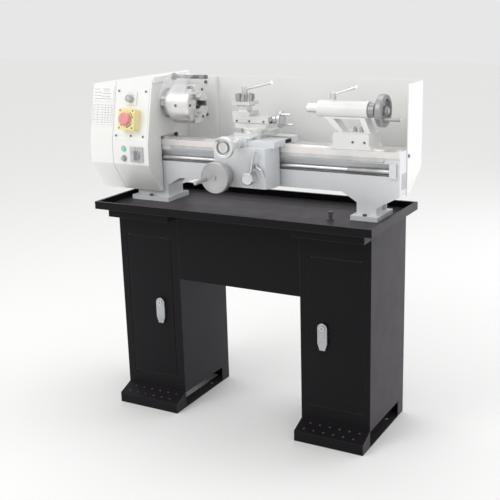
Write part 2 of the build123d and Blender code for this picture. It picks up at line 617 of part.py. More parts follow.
with BuildPart() as spindle_bearings:
    for x in (CAST_X[0], CAST_X[1] - BEARING_WIDTH):
        disc(plane_x(x), spindle_at, BEARING_R, BEARING_WIDTH)
        disc(plane_x(x), spindle_at, SPINDLE_R + FIT, BEARING_WIDTH, Mode.SUBTRACT)
keep(spindle_bearings, "spindle_bearings")

CHUCK_BACK_X = CHUCK_FACE_X - CHUCK_LENGTH
NOSE_X = CHUCK_BACK_X - BACKPLATE
with BuildPart() as spindle:
    disc(plane_x(PULLEY_X), spindle_at, SPINDLE_R, NOSE_X - PULLEY_X - 10.0)
    disc(plane_x(NOSE_X - 10.0), spindle_at, 42.0, 10.0)
    disc(plane_x(GEAR_X - 3.0), spindle_at, SPINDLE_TAIL_R, PULLEY_X - GEAR_X + 3.0)
    disc(plane_x(GEAR_X - 3.0), spindle_at, SPINDLE_BORE_R, NOSE_X - GEAR_X + 3.0, Mode.SUBTRACT)
keep(spindle, "spindle")

GROOVE = 7.0


def pulley(centre, radius, bore):
    """Grooved belt wheel."""
    disc(plane_x(PULLEY_X), centre, radius, PULLEY_WIDTH)
    middle = PULLEY_X + PULLEY_WIDTH / 2
    disc(plane_x(middle - GROOVE), centre, radius + 1.0, 2 * GROOVE, Mode.SUBTRACT)
    disc(plane_x(middle - GROOVE), centre, radius - GROOVE, 2 * GROOVE)
    disc(plane_x(PULLEY_X), centre, bore, PULLEY_WIDTH, Mode.SUBTRACT)


with BuildPart() as spindle_pulley:
    pulley(spindle_at, SPINDLE_PULLEY_R, SPINDLE_R)
keep(spindle_pulley, "spindle_pulley")

motor_at = (MOTOR_Y, MOTOR_Z)
MOTOR_X = (PLATE_X[1], -336.0)
SHAFT_R = 7.0
with BuildPart() as motor:
    disc(plane_x(MOTOR_X[0]), motor_at, MOTOR_R, MOTOR_X[1] - MOTOR_X[0])
    disc(plane_x(MOTOR_X[0]), motor_at, SHAFT_R + FIT, 40.0, Mode.SUBTRACT)
    block(plane_x(MOTOR_X[0] + 20.0), (MOTOR_Y - 20.0, MOTOR_Z + 20.0),
          (MOTOR_Y + 20.0, MOTOR_Z + MOTOR_R + 10.0), 60.0)
keep(motor, "motor")

with BuildPart() as motor_pulley:
    pulley(motor_at, MOTOR_PULLEY_R, SHAFT_R)
    disc(plane_x(PULLEY_X - 4.0), motor_at, SHAFT_R, MOTOR_X[0] + 38.0 - PULLEY_X)
keep(motor_pulley, "motor_pulley")

with BuildPart() as drive_belt:
    belt_x = PULLEY_X + PULLEY_WIDTH / 2 - GROOVE + RUN
    for thickness, mode in ((GROOVE - RUN, Mode.ADD), (0.0, Mode.SUBTRACT)):
        with BuildSketch(plane_x(belt_x)) as loop:
            for at, radius in ((spindle_at, SPINDLE_PULLEY_R), (motor_at, MOTOR_PULLEY_R)):
                with Locations(at):
                    Circle(radius - GROOVE + RUN + thickness)
            make_hull()
        extrude(loop.sketch, amount=2 * (GROOVE - RUN), mode=mode)
keep(drive_belt, "drive_belt")


def lean_y(z):
    """Front of the casing at height z on its leaning face."""
    return COVER_KNEE[0] + (z - COVER_KNEE[1]) * tan(radians(LEAN_DEGREES))


def casing(low_x, high_x):
    """Solid block with the headstock casing's outline and sloping top."""
    slope = (COVER_TOP_RIGHT_Z - COVER_TOP_LEFT_Z) / (HEAD_RIGHT_X - HEAD_LEFT_X)
    high_z = COVER_TOP_RIGHT_Z + 20.0
    profile(plane_x(low_x), [COVER_LOW, COVER_MID, COVER_KNEE, (lean_y(high_z), high_z),
                             (COVER_BACK_Y, high_z), (COVER_BACK_Y, COVER_LOW[1])],
            high_x - low_x)
    split(bisect_by=Plane(origin=(HEAD_RIGHT_X, 0, COVER_TOP_RIGHT_Z), z_dir=(-slope, 0, 1)),
          keep=Keep.BOTTOM)


SEAM_GAP = 1.5
HINGE_AT = (COVER_SEAM_X - SEAM_GAP / 2, COVER_BACK_Y + 4.5)
HINGE_R = 4.0
HINGE_PIN_R = 2.0
KNUCKLE = 16.0
HINGE_Z = (760.0, 985.0)


def knuckle(low_z, leaf_end_x):
    """Half of a butt hinge on the back of the casing."""
    disc(plane_z(low_z), HINGE_AT, HINGE_R, KNUCKLE)
    leaf = sorted((HINGE_AT[0], leaf_end_x))
    block(plane_z(low_z), (leaf[0], COVER_BACK_Y + 1.5), (leaf[1], COVER_BACK_Y + 3.5), KNUCKLE)
    foot = sorted((leaf_end_x, leaf_end_x + (HINGE_AT[0] - leaf_end_x) * 0.6))
    block(plane_z(low_z), (foot[0], COVER_BACK_Y - 1.0), (foot[1], COVER_BACK_Y + 3.5), KNUCKLE)


NOSE_HOLE_R = 46.0
with BuildPart() as headstock_cover:
    casing(COVER_SEAM_X, HEAD_RIGHT_X)
    fillet(headstock_cover.edges().group_by(Axis.Z)[-1].sort_by(Axis.Y)[0], 10.0)
    offset(amount=-COVER_WALL, openings=headstock_cover.faces().sort_by(Axis.X)[0])
    # the bed, its left foot and the spindle's nose come out of the casing
    block(plane_x(COVER_SEAM_X), (BED_FRONT_Y - 2.0, COVER_LOW[1] - 1.0),
          (BED_BACK_Y + 2.0, BED_TOP_Z + VEE_HEIGHT + 3.0), HEAD_RIGHT_X - COVER_SEAM_X,
          Mode.SUBTRACT)
    disc(plane_x(HEAD_RIGHT_X - COVER_WALL), spindle_at, NOSE_HOLE_R, COVER_WALL, Mode.SUBTRACT)
    for z in HINGE_Z:
        knuckle(z, HINGE_AT[0] + 16.0)
        disc(plane_z(z), HINGE_AT, HINGE_PIN_R, 2 * KNUCKLE)
keep(headstock_cover, "headstock_cover")

with BuildPart() as gear_cover:
    casing(HEAD_LEFT_X, COVER_SEAM_X - SEAM_GAP)
    fillet(gear_cover.edges().group_by(Axis.X)[0], 7.0)
    offset(amount=-COVER_WALL, openings=gear_cover.faces().sort_by(Axis.X)[-1])
    for z in HINGE_Z:
        knuckle(z + KNUCKLE + RUN, HINGE_AT[0] - 16.0)
        disc(plane_z(z + KNUCKLE), HINGE_AT, HINGE_PIN_R + FIT, KNUCKLE + 1.0, Mode.SUBTRACT)
keep(gear_cover, "gear_cover")

PANEL_THICK = 1.5
PANEL_X = (COVER_SEAM_X + 6.0, HEAD_RIGHT_X - 6.0)
PANEL_Z = (BED_TOP_Z + 2.0, SPINDLE_Z + 57.0)
panel_plane = leaning_plane(sum(PANEL_X) / 2, sum(PANEL_Z) / 2)
panel_high = (PANEL_Z[1] - PANEL_Z[0]) / cos(radians(LEAN_DEGREES))
KNOB_AT = (-398.0, SPINDLE_Z + 20.0)
BOX_AT = (-388.0, SPINDLE_Z - 45.0)
BOX_SIZE = (62.0, 68.0)
BOX_DEPTH = 32.0

with BuildPart() as control_panel:
    with BuildSketch(panel_plane) as outline:
        RectangleRounded(PANEL_X[1] - PANEL_X[0], panel_high, 4.0)
    extrude(outline.sketch, amount=PANEL_THICK)
keep(control_panel, "control_panel")

KNOB_R = 13.0
with BuildPart() as speed_knob:
    with BuildSketch(leaning_plane(*KNOB_AT, out=PANEL_THICK + RUN)) as outline:
        Circle(KNOB_R)
    extrude(outline.sketch, amount=16.0, taper=6)
keep(speed_knob, "speed_knob")

with BuildPart() as estop_box:
    with BuildSketch(leaning_plane(*BOX_AT, out=PANEL_THICK)) as outline:
        RectangleRounded(*BOX_SIZE, 6.0)
    extrude(outline.sketch, amount=BOX_DEPTH)
    with BuildSketch(leaning_plane(*BOX_AT, out=PANEL_THICK + BOX_DEPTH)) as hole:
        Circle(11.0 + FIT)
    extrude(hole.sketch, amount=-14.0, mode=Mode.SUBTRACT)
keep(estop_box, "estop_box")

MUSHROOM_R = 20.0
PRESS = 4.0
with BuildPart() as estop_button:
    with BuildSketch(leaning_plane(*BOX_AT, out=PANEL_THICK + BOX_DEPTH + PRESS + 1.0)) as cap:
        Circle(MUSHROOM_R)
    extrude(cap.sketch, amount=12.0)
    fillet(estop_button.edges().sort_by(Axis.Y)[0], 5.0)
    with BuildSketch(leaning_plane(*BOX_AT, out=PANEL_THICK + BOX_DEPTH - 9.0)) as stem:
        Circle(11.0)
    extrude(stem.sketch, amount=9.0 + PRESS + 1.0)
keep(estop_button, "estop_button")

front_y = COVER_KNEE[0]
BEZEL_R = 8.5
BEZEL_THICK = 3.0
LAMP_AT = (-417.0, BED_TOP_Z - 25.0)
FUSE_AT = (-417.0, BED_TOP_Z - 56.0)
with BuildPart() as power_lamp:
    disc(plane_y(front_y), LAMP_AT, BEZEL_R, BEZEL_THICK)
    disc(plane_y(front_y - BEZEL_THICK), LAMP_AT, 7.0, 3.0)
    fillet(power_lamp.edges().sort_by(Axis.Y)[0], 2.0)
keep(power_lamp, "power_lamp")

with BuildPart() as fuse_holder:
    disc(plane_y(front_y), FUSE_AT, BEZEL_R, BEZEL_THICK)
    disc(plane_y(front_y - BEZEL_THICK), FUSE_AT, 6.5, 7.0)
keep(fuse_holder, "fuse_holder")

SWITCH_AT = (-366.0, BED_TOP_Z - 41.0)
SWITCH_HALF = 24.0
with BuildPart() as switch_plate:
    block(plane_y(front_y), (SWITCH_AT[0] - SWITCH_HALF, SWITCH_AT[1] - SWITCH_HALF),
          (SWITCH_AT[0] + SWITCH_HALF, SWITCH_AT[1] + SWITCH_HALF), 6.0)
    fillet(switch_plate.faces().sort_by(Axis.Y)[0].edges(), 1.5)
keep(switch_plate, "switch_plate")

with BuildPart() as switch_knob:
    disc(plane_y(front_y - 6.0 - RUN), SWITCH_AT, 14.0, 6.0)
    block(plane_y(front_y - 12.0 - RUN), (SWITCH_AT[0] - 5.0, SWITCH_AT[1] - 14.0),
          (SWITCH_AT[0] + 5.0, SWITCH_AT[1] + 14.0), 12.0)
keep(switch_knob, "switch_knob")

# ---- chuck --------------------------------------------------------------
JAW_ANGLES = (120.0, 240.0, 0.0)
JAW_BACK_X = CHUCK_FACE_X - 20.0


def turned(angle):
    """Plane on the chuck's axis whose own Y points out along one jaw."""
    return Plane(origin=(JAW_BACK_X, CENTRE_Y, SPINDLE_Z), z_dir=(1, 0, 0),
                 x_dir=(0, sin(radians(angle)), -cos(radians(angle))))


with BuildPart() as chuck:
    disc(plane_x(NOSE_X), spindle_at, 50.0, BACKPLATE)
    disc(plane_x(CHUCK_BACK_X), spindle_at, CHUCK_R, CHUCK_LENGTH)
    chamfer(chuck.faces().sort_by(Axis.X)[-1].edges(), 2.0)
    disc(plane_x(NOSE_X), spindle_at, 16.0, BACKPLATE + CHUCK_LENGTH, Mode.SUBTRACT)
    for angle in JAW_ANGLES:
        block(turned(angle), (-JAW_WIDTH / 2 - FIT, 4.0), (JAW_WIDTH / 2 + FIT, CHUCK_R + 4.0),
              30.0, Mode.SUBTRACT)
        out = (cos(radians(angle + 60.0)), sin(radians(angle + 60.0)))
        key = Plane(origin=(CHUCK_BACK_X + 30.0, CENTRE_Y + CHUCK_R * out[0],
                            SPINDLE_Z + CHUCK_R * out[1]), z_dir=(0, out[0], out[1]))
        with BuildSketch(key) as socket:
            Rectangle(8.0, 8.0)
        extrude(socket.sketch, amount=-16.0, mode=Mode.SUBTRACT)
keep(chuck, "chuck")

for number, angle in enumerate(JAW_ANGLES, 1):
    with BuildPart() as jaw:
        block(turned(angle), (-JAW_WIDTH / 2, JAW_IN_R), (JAW_WIDTH / 2, JAW_IN_R + JAW_LENGTH),
              20.0)
        block(turned(angle).offset(20.0), (-JAW_WIDTH / 2, JAW_IN_R),
              (JAW_WIDTH / 2, JAW_IN_R + 22.0), 9.0)
        block(turned(angle).offset(29.0), (-JAW_WIDTH / 2, JAW_IN_R),
              (JAW_WIDTH / 2, JAW_IN_R + 11.0), JAW_OUT - 9.0)
    keep(jaw, f"jaw_{number}")

GUARD_PIVOT = (CENTRE_Y + 38.0, SPINDLE_Z + 80.0)
GUARD_X = (-292.0, -204.0)
PIVOT_R = 6.0
with BuildPart() as guard_pivot:
    disc(plane_x(HEAD_RIGHT_X), GUARD_PIVOT, 11.0, 8.0)
    disc(plane_x(HEAD_RIGHT_X), GUARD_PIVOT, PIVOT_R, GUARD_X[1] + 8.0 - HEAD_RIGHT_X)
keep(guard_pivot, "guard_pivot")

GUARD_WALL = 3.0
with BuildPart() as chuck_guard:
    with BuildSketch(plane_x(GUARD_X[0])) as shell:
        with BuildLine():
            outer = CenterArc(spindle_at, GUARD_R, 74, 92)
            inner = CenterArc(spindle_at, GUARD_R - GUARD_WALL, 74, 92)
            Line(outer @ 0, inner @ 0)
            Line(outer @ 1, inner @ 1)
        make_face()
    extrude(shell.sketch, amount=GUARD_X[1] - GUARD_X[0])
    for x in (GUARD_X[0], GUARD_X[1] - 14.0):
        disc(plane_x(x), GUARD_PIVOT, 11.0, 14.0)
        profile(plane_x(x), [(GUARD_PIVOT[0] - 4.0, GUARD_PIVOT[1] - 9.0),
                             (GUARD_PIVOT[0] + 2.0, GUARD_PIVOT[1] + 10.0),
                             (CENTRE_Y + 26.0, SPINDLE_Z + GUARD_R - 4.0),
                             (CENTRE_Y + 22.0, SPINDLE_Z + GUARD_R - 5.5)], 14.0)
        disc(plane_x(x), GUARD_PIVOT, PIVOT_R + FIT, 14.0, Mode.SUBTRACT)
keep(chuck_guard, "chuck_guard")

# ---- carriage -----------------------------------------------------------
slide_z = BED_TOP_Z + RUN


def dovetail(plane, centre, low_z, half, length, grow, mode):
    """Dovetail of half-width `half` at its root, widening upwards, or its slot."""
    lean = DOVETAIL_HEIGHT * tan(radians(DOVETAIL_ANGLE))
    high = low_z + DOVETAIL_HEIGHT + grow
    profile(plane, [(centre - half - grow, low_z), (centre - half - lean - grow * 1.6, high),
                    (centre + half + lean + grow * 1.6, high), (centre + half + grow, low_z)],
            length, mode)


CROSS_DOVETAIL = 24.0
with BuildPart() as saddle:
    block(plane_z(slide_z), (SADDLE_X[0], SADDLE_Y[0]), (SADDLE_X[1], SADDLE_Y[1]),
          SADDLE_TOP_Z - slide_z)
    # waists between the four wings
    for low_x, high_x in ((SADDLE_X[0], -CROSS_HALF - 3.0), (CROSS_HALF + 3.0, SADDLE_X[1])):
        block(plane_z(slide_z), (low_x, VEE_Y + 22.0), (high_x, BED_BACK_Y - 30.0), 40.0,
              Mode.SUBTRACT)
    fillet(saddle.edges().filter_by(Axis.Z).group_by(Axis.X)[-1], 3.0)
    dovetail(plane_y(SADDLE_Y[1]), 0.0, SADDLE_TOP_Z, CROSS_DOVETAIL,
             SADDLE_Y[1] - SADDLE_Y[0] - 2.0, 0.0, Mode.ADD)
    # front bracket that carries the cross feed screw
    block(plane_y(SADDLE_Y[0]), (-22.0, slide_z), (22.0, SADDLE_TOP_Z + 7.0), 8.0)
    disc(plane_y(SADDLE_Y[0]), (0.0, CROSS_AXIS_Z), 12.5, 20.0)
    disc(plane_y(SADDLE_Y[0] + 40.0), (0.0, CROSS_AXIS_Z), 5.0 + FIT, 80.0, Mode.SUBTRACT)
    vee_notch(*SADDLE_X)
keep(saddle, "saddle")

with BuildPart() as apron:
    profile(plane_z(APRON_LOW_Z),
            [(APRON_X[0], APRON_BACK_Y), (APRON_X[0], APRON_FRONT_Y),
             (APRON_X[1] - 14.0, APRON_FRONT_Y), (APRON_X[1], APRON_FRONT_Y + 24.0),
             (APRON_X[1], APRON_BACK_Y)],
            slide_z - APRON_LOW_Z)
    fillet(apron.edges().filter_by(Axis.Z).group_by(Axis.Y)[0], 4.0)
    offset(amount=-APRON_WALL, openings=apron.faces().sort_by(Axis.Y)[-1])
    disc(plane_y(APRON_FRONT_Y), APRON_AXIS, 30.0, 6.0)
    disc(plane_y(APRON_FRONT_Y), NUT_AXIS, 24.0, 3.0)
    for at, radius in ((APRON_AXIS, 7.0), (NUT_AXIS, 7.0), (LOCK_AXIS, 4.0)):
        disc(plane_y(APRON_FRONT_Y + APRON_WALL), at, radius + FIT, 20.0, Mode.SUBTRACT)
keep(apron, "apron")

wheel_y = APRON_FRONT_Y - 6.0 - RUN
with BuildPart() as apron_handwheel:
    disc(plane_y(wheel_y), APRON_AXIS, 36.0, 34.0)
    disc(plane_y(wheel_y - 34.0), APRON_AXIS, APRON_WHEEL_R, 17.0)
    fillet(apron_handwheel.edges().group_by(Axis.Y)[0], 5.0)
    disc(plane_y(wheel_y - 51.0), APRON_AXIS, 6.0, 4.0)
    disc(plane_y(APRON_FRONT_Y + APRON_WALL), APRON_AXIS, 7.0, APRON_WALL + 6.0 + RUN)
    APRON_GRIP = (APRON_AXIS[0] - 32.0, APRON_AXIS[1] - 7.0)
    disc(plane_y(wheel_y - 51.0), APRON_GRIP, 6.0, 58.0)
    fillet(apron_handwheel.edges().group_by(Axis.Y)[0], 2.5)
keep(apron_handwheel, "apron_handwheel")

with BuildPart() as half_nut_lever:
    disc(plane_y(APRON_FRONT_Y - 3.0 - RUN), NUT_AXIS, 19.0, 34.0)
    disc(plane_y(APRON_FRONT_Y + APRON_WALL), NUT_AXIS, 7.0, APRON_WALL + 3.0 + RUN)
    arm_y = APRON_FRONT_Y - 20.0
    arm_end = (NUT_AXIS[0] + 16.0, arm_y, NUT_AXIS[1] + 73.0)
    rod((NUT_AXIS[0], arm_y, NUT_AXIS[1]), arm_end, 6.0, 4.5)
    with Locations((arm_end[0] + 0.5, arm_y, arm_end[2] + 3.0)):
        Box(13.0, 11.0, 10.0)
    chamfer(half_nut_lever.edges().group_by(Axis.Y)[0].filter_by(GeomType.CIRCLE), 2.0)
keep(half_nut_lever, "half_nut_lever")

with BuildPart() as carriage_lever:
    disc(plane_y(APRON_FRONT_Y - RUN), LOCK_AXIS, 6.5, 11.0)
    disc(plane_y(APRON_FRONT_Y + APRON_WALL), LOCK_AXIS, 4.0, APRON_WALL + RUN)
    knee = (LOCK_AXIS[0] + 18.0, APRON_FRONT_Y - 10.0, LOCK_AXIS[1] - 10.0)
    rod((LOCK_AXIS[0], APRON_FRONT_Y - 8.0, LOCK_AXIS[1]), knee, 3.5, 3.5)
    rod(knee, (knee[0] + 8.0, APRON_FRONT_Y - 11.0, knee[2] - 21.0), 3.5, 5.0)
    with Locations(knee):
        Sphere(3.5)
keep(carriage_lever, "carriage_lever")

dial_y = SADDLE_Y[0] - 20.0 - RUN
CROSS_GRIP_ANGLE = radians(125.0)
with BuildPart() as cross_handwheel:
    disc(plane_y(dial_y), (0.0, CROSS_AXIS_Z), 16.0, 16.0)
    disc(plane_y(SADDLE_Y[0] + 30.0), (0.0, CROSS_AXIS_Z), 5.0, SADDLE_Y[0] + 30.0 - dial_y)
    disc(plane_y(dial_y - 16.0), (0.0, CROSS_AXIS_Z), 11.0, dial_y - 16.0 - CROSS_WHEEL_Y)
    disc(plane_y(CROSS_WHEEL_Y), (0.0, CROSS_AXIS_Z), CROSS_WHEEL_R, 14.0)
    fillet(cross_handwheel.edges().filter_by(GeomType.CIRCLE).sort_by(SortBy.LENGTH)[-2:], 4.0)
    disc(plane_y(CROSS_WHEEL_Y - 10.0), (0.0, CROSS_AXIS_Z), 24.0, 4.0, Mode.SUBTRACT)
    disc(plane_y(CROSS_WHEEL_Y - 10.0), (0.0, CROSS_AXIS_Z), 14.5, 6.0)
    disc(plane_y(CROSS_WHEEL_Y - 14.0),
         (27.0 * cos(CROSS_GRIP_ANGLE), CROSS_AXIS_Z + 27.0 * sin(CROSS_GRIP_ANGLE)), 4.5, 24.0)
keep(cross_handwheel, "cross_handwheel")

with BuildPart() as cross_slide:
    block(plane_z(SADDLE_TOP_Z + RUN), (-CROSS_HALF, CROSS_Y[0]), (CROSS_HALF, CROSS_Y[1]),
          CROSS_TOP_Z - SADDLE_TOP_Z - RUN)
    dovetail(plane_y(CROSS_Y[1]), 0.0, SADDLE_TOP_Z, CROSS_DOVETAIL, CROSS_Y[1] - CROSS_Y[0],
             RUN, Mode.SUBTRACT)
    fillet(cross_slide.edges().filter_by(Axis.Z), 2.0)
keep(cross_slide, "cross_slide")

TOP_DOVETAIL = 18.0
LOWER_SLIDE_X = (-50.0, 55.0)
TOP_TRAVEL_BACK = 31.5  # the dovetail ends here, so that the dial runs back past it
with BuildPart() as swivel_base:
    disc(plane_z(CROSS_TOP_Z), (0.0, TOP_SLIDE_Y), SWIVEL_R, SWIVEL_TOP_Z - CROSS_TOP_Z)
    block(plane_z(SWIVEL_TOP_Z), (LOWER_SLIDE_X[0], TOP_SLIDE_Y - 30.0),
          (LOWER_SLIDE_X[1], TOP_SLIDE_Y + 30.0), LOWER_SLIDE_TOP_Z - SWIVEL_TOP_Z)
    dovetail(plane_x(LOWER_SLIDE_X[0]), TOP_SLIDE_Y, LOWER_SLIDE_TOP_Z, TOP_DOVETAIL,
             TOP_SLIDE_X[1] - TOP_TRAVEL_BACK - LOWER_SLIDE_X[0], 0.0, Mode.ADD)
keep(swivel_base, "swivel_base")

with BuildPart() as compound_slide:
    block(plane_z(LOWER_SLIDE_TOP_Z + RUN), (TOP_SLIDE_X[0], TOP_SLIDE_Y - TOP_SLIDE_HALF),
          (TOP_SLIDE_X[1], TOP_SLIDE_Y + TOP_SLIDE_HALF), TOP_SLIDE_TOP_Z - LOWER_SLIDE_TOP_Z - RUN)
    fillet(compound_slide.edges().filter_by(Axis.Z), 3.0)
    dovetail(plane_x(TOP_SLIDE_X[0]), TOP_SLIDE_Y, LOWER_SLIDE_TOP_Z, TOP_DOVETAIL,
             TOP_SLIDE_X[1] - TOP_SLIDE_X[0], RUN, Mode.SUBTRACT)
    TOP_AXIS = (TOP_SLIDE_Y, LOWER_SLIDE_TOP_Z + 14.5)
    disc(plane_x(TOP_SLIDE_X[1] - 20.0), TOP_AXIS, 4.0 + FIT, 20.0, Mode.SUBTRACT)
    disc(plane_z(TOP_SLIDE_TOP_Z), (POST_X, TOP_SLIDE_Y), 6.0, POST_TOP_Z - TOP_SLIDE_TOP_Z + 12.0)
keep(compound_slide, "compound_slide")

DIAL_R = 14.0  # clears the lower slide when the top slide runs back over it
with BuildPart() as compound_handwheel:
    disc(plane_x(TOP_SLIDE_X[1] + RUN), TOP_AXIS, DIAL_R, 12.0)
    disc(plane_x(TOP_SLIDE_X[1] - 18.0), TOP_AXIS, 4.0, 18.0 + RUN)
    disc(plane_x(TOP_SLIDE_X[1] + 12.0), TOP_AXIS, 10.0, 10.0)
    disc(plane_x(TOP_SLIDE_X[1] + 20.0), TOP_AXIS, 25.0, 11.0)
    fillet(compound_handwheel.edges().filter_by(GeomType.CIRCLE).sort_by(SortBy.LENGTH)[-2:], 3.0)
    for turn in (1, -1):
        disc(plane_x(TOP_SLIDE_X[1] + 30.0),
             (TOP_AXIS[0] - turn * 8.0, TOP_AXIS[1] + turn * 16.0), 4.0, 32.0)
keep(compound_handwheel, "compound_handwheel")

with BuildPart() as tool_post:
    post_low = TOP_SLIDE_TOP_Z + RUN

    def post_block(low_z, half, height):
        block(plane_z(low_z), (POST_X - half, TOP_SLIDE_Y - half),
              (POST_X + half, TOP_SLIDE_Y + half), height)

    post_block(post_low, POST_HALF, POST_SLOT_Z[0] - post_low)
    post_block(POST_SLOT_Z[0], POST_CORE_HALF, POST_SLOT_Z[1] - POST_SLOT_Z[0])
    post_block(POST_SLOT_Z[1], POST_HALF, POST_TOP_Z - POST_SLOT_Z[1])
    disc(plane_z(post_low), (POST_X, TOP_SLIDE_Y), 6.0 + FIT, 60.0, Mode.SUBTRACT)
    CLAMP_AT = [(x, y) for x in (-23.0, -8.0, 8.0, 23.0) for y in (-23.0, -8.0, 8.0, 23.0)
                if abs(x) + abs(y) == 31.0]
    for x, y in CLAMP_AT:
        disc(plane_z(POST_SLOT_Z[1]), (POST_X + x, TOP_SLIDE_Y + y), 4.0 + FIT,
             POST_TOP_Z - POST_SLOT_Z[1], Mode.SUBTRACT)
keep(tool_post, "tool_post")

with BuildPart() as clamp_screws:
    for x, y in CLAMP_AT:
        disc(plane_z(POST_SLOT_Z[1] - 4.0), (POST_X + x, TOP_SLIDE_Y + y), 4.0,
             POST_TOP_Z - POST_SLOT_Z[1] + 10.0)
        block(plane_z(POST_TOP_Z + 6.0), (POST_X + x - 4.0, TOP_SLIDE_Y + y - 4.0),
              (POST_X + x + 4.0, TOP_SLIDE_Y + y + 4.0), 15.0)
keep(clamp_screws, "clamp_screws")

with BuildPart() as tool_post_lever:
    disc(plane_z(POST_TOP_Z + RUN), (POST_X, TOP_SLIDE_Y), 9.0, 42.0)
    fillet(tool_post_lever.faces().sort_by(Axis.Z)[-1].edges(), 2.0)
    disc(plane_z(POST_TOP_Z + RUN), (POST_X, TOP_SLIDE_Y), 6.0 + FIT, 13.0, Mode.SUBTRACT)
    rod((POST_X, TOP_SLIDE_Y, POST_TOP_Z + 34.0),
        (POST_X + 92.0, TOP_SLIDE_Y, POST_TOP_Z + 56.0), 4.0, 5.5)
keep(tool_post_lever, "tool_post_lever")

# ---- tailstock ----------------------------------------------------------
BASE_STEP_Z = BED_TOP_Z + 15.0
BASE_TOP_Z = BED_TOP_Z + 46.0
NECK_TOP_Z = SPINDLE_Z - BARREL_R + 4.0
with BuildPart() as tailstock:
    low, high = TAIL_X
    profile(plane_y(CENTRE_Y + TAIL_HALF),
            [(low, slide_z), (low + 9.0, BASE_STEP_Z), (low + 9.0, BASE_TOP_Z - 4),
             (low + 13.0, BASE_TOP_Z), (high - 13.0, BASE_TOP_Z), (high - 9.0, BASE_TOP_Z - 4),
             (high - 9.0, BASE_STEP_Z), (high, slide_z)], 2 * TAIL_HALF)
    # slanting neck with an open window
    profile(plane_y(CENTRE_Y + 22.0), [(low + 18.0, BASE_TOP_Z), (BARREL_X[0] + 24.0, NECK_TOP_Z),
                                       (BARREL_X[1], NECK_TOP_Z), (high - 13.0, BASE_TOP_Z)], 44.0)
    profile(plane_y(CENTRE_Y + 23.0),
            [(low + 33.0, BASE_TOP_Z + 1), (BARREL_X[0] + 54.0, NECK_TOP_Z - 5),
             (BARREL_X[1] - 14.0, NECK_TOP_Z - 5), (high - 32.0, BASE_TOP_Z + 1)], 46.0,
            Mode.SUBTRACT)
    disc(plane_x(BARREL_X[0]), spindle_at, BARREL_R, BARREL_X[1] - BARREL_X[0])
    QUILL_LOCK_X = 255.0
    disc(plane_z(SPINDLE_Z), (QUILL_LOCK_X, CENTRE_Y), 10.0, BARREL_R + 4.0)
    disc(plane_x(BARREL_X[0]), spindle_at, QUILL_R + FIT, QUILL_LENGTH, Mode.SUBTRACT)
    disc(plane_x(BARREL_X[1]), spindle_at, 26.0, 7.0)
    disc(plane_x(BARREL_X[0]), spindle_at, QUILL_SCREW_R + FIT,
         BARREL_X[1] - BARREL_X[0] + 7.0, Mode.SUBTRACT)
    vee_notch(*TAIL_X)
keep(tailstock, "tailstock")

NUT_BORE = 78.0  # depth of the hole that takes the screw
with BuildPart() as quill:
    start = BARREL_X[0] - QUILL_OUT
    disc(plane_x(start), spindle_at, QUILL_R, QUILL_LENGTH)
    chamfer(quill.faces().sort_by(Axis.X)[0].edges(), 1.5)
    with BuildSketch(plane_x(start)) as taper_mouth:
        with Locations(spindle_at):
            Circle(8.0)
    extrude(taper_mouth.sketch, amount=60.0, taper=1.5, mode=Mode.SUBTRACT)
    disc(plane_x(start + QUILL_LENGTH - NUT_BORE), spindle_at, QUILL_SCREW_R + FIT, NUT_BORE,
         Mode.SUBTRACT)
keep(quill, "quill")

with BuildPart() as quill_lever:
    lock_z = SPINDLE_Z + BARREL_R + 4.0 + RUN
    disc(plane_z(lock_z), (QUILL_LOCK_X, CENTRE_Y), 9.0, 20.0)
    fillet(quill_lever.faces().sort_by(Axis.Z)[-1].edges(), 2.0)
    rod((QUILL_LOCK_X, CENTRE_Y, lock_z + 13.0),
        (QUILL_LOCK_X + 72.0, CENTRE_Y, lock_z + 36.0), 3.5, 5.0)
keep(quill_lever, "quill_lever")

with BuildPart() as tailstock_handwheel:
    hub_x = BARREL_X[1] + 7.0 + RUN
    disc(plane_x(hub_x), spindle_at, 21.0, 18.0)
    disc(plane_x(hub_x + 18.0), spindle_at, 12.0, 20.0)
    disc(plane_x(TAIL_WHEEL_X), spindle_at, TAIL_WHEEL_R, 22.0)
    fillet(tailstock_handwheel.edges().filter_by(GeomType.CIRCLE).sort_by(SortBy.LENGTH)[-2:], 6.0)
    disc(plane_x(TAIL_WHEEL_X + 14.0), spindle_at, 34.0, 8.0, Mode.SUBTRACT)
    disc(plane_x(TAIL_WHEEL_X + 14.0), spindle_at, 12.0, 11.0)
    disc(plane_x(hub_x - QUILL_SCREW), spindle_at, QUILL_SCREW_R, QUILL_SCREW)
    disc(plane_x(TAIL_WHEEL_X + 10.0), (CENTRE_Y - 26.0, SPINDLE_Z - 21.0), 5.5, 64.0)
keep(tailstock_handwheel, "tailstock_handwheel")

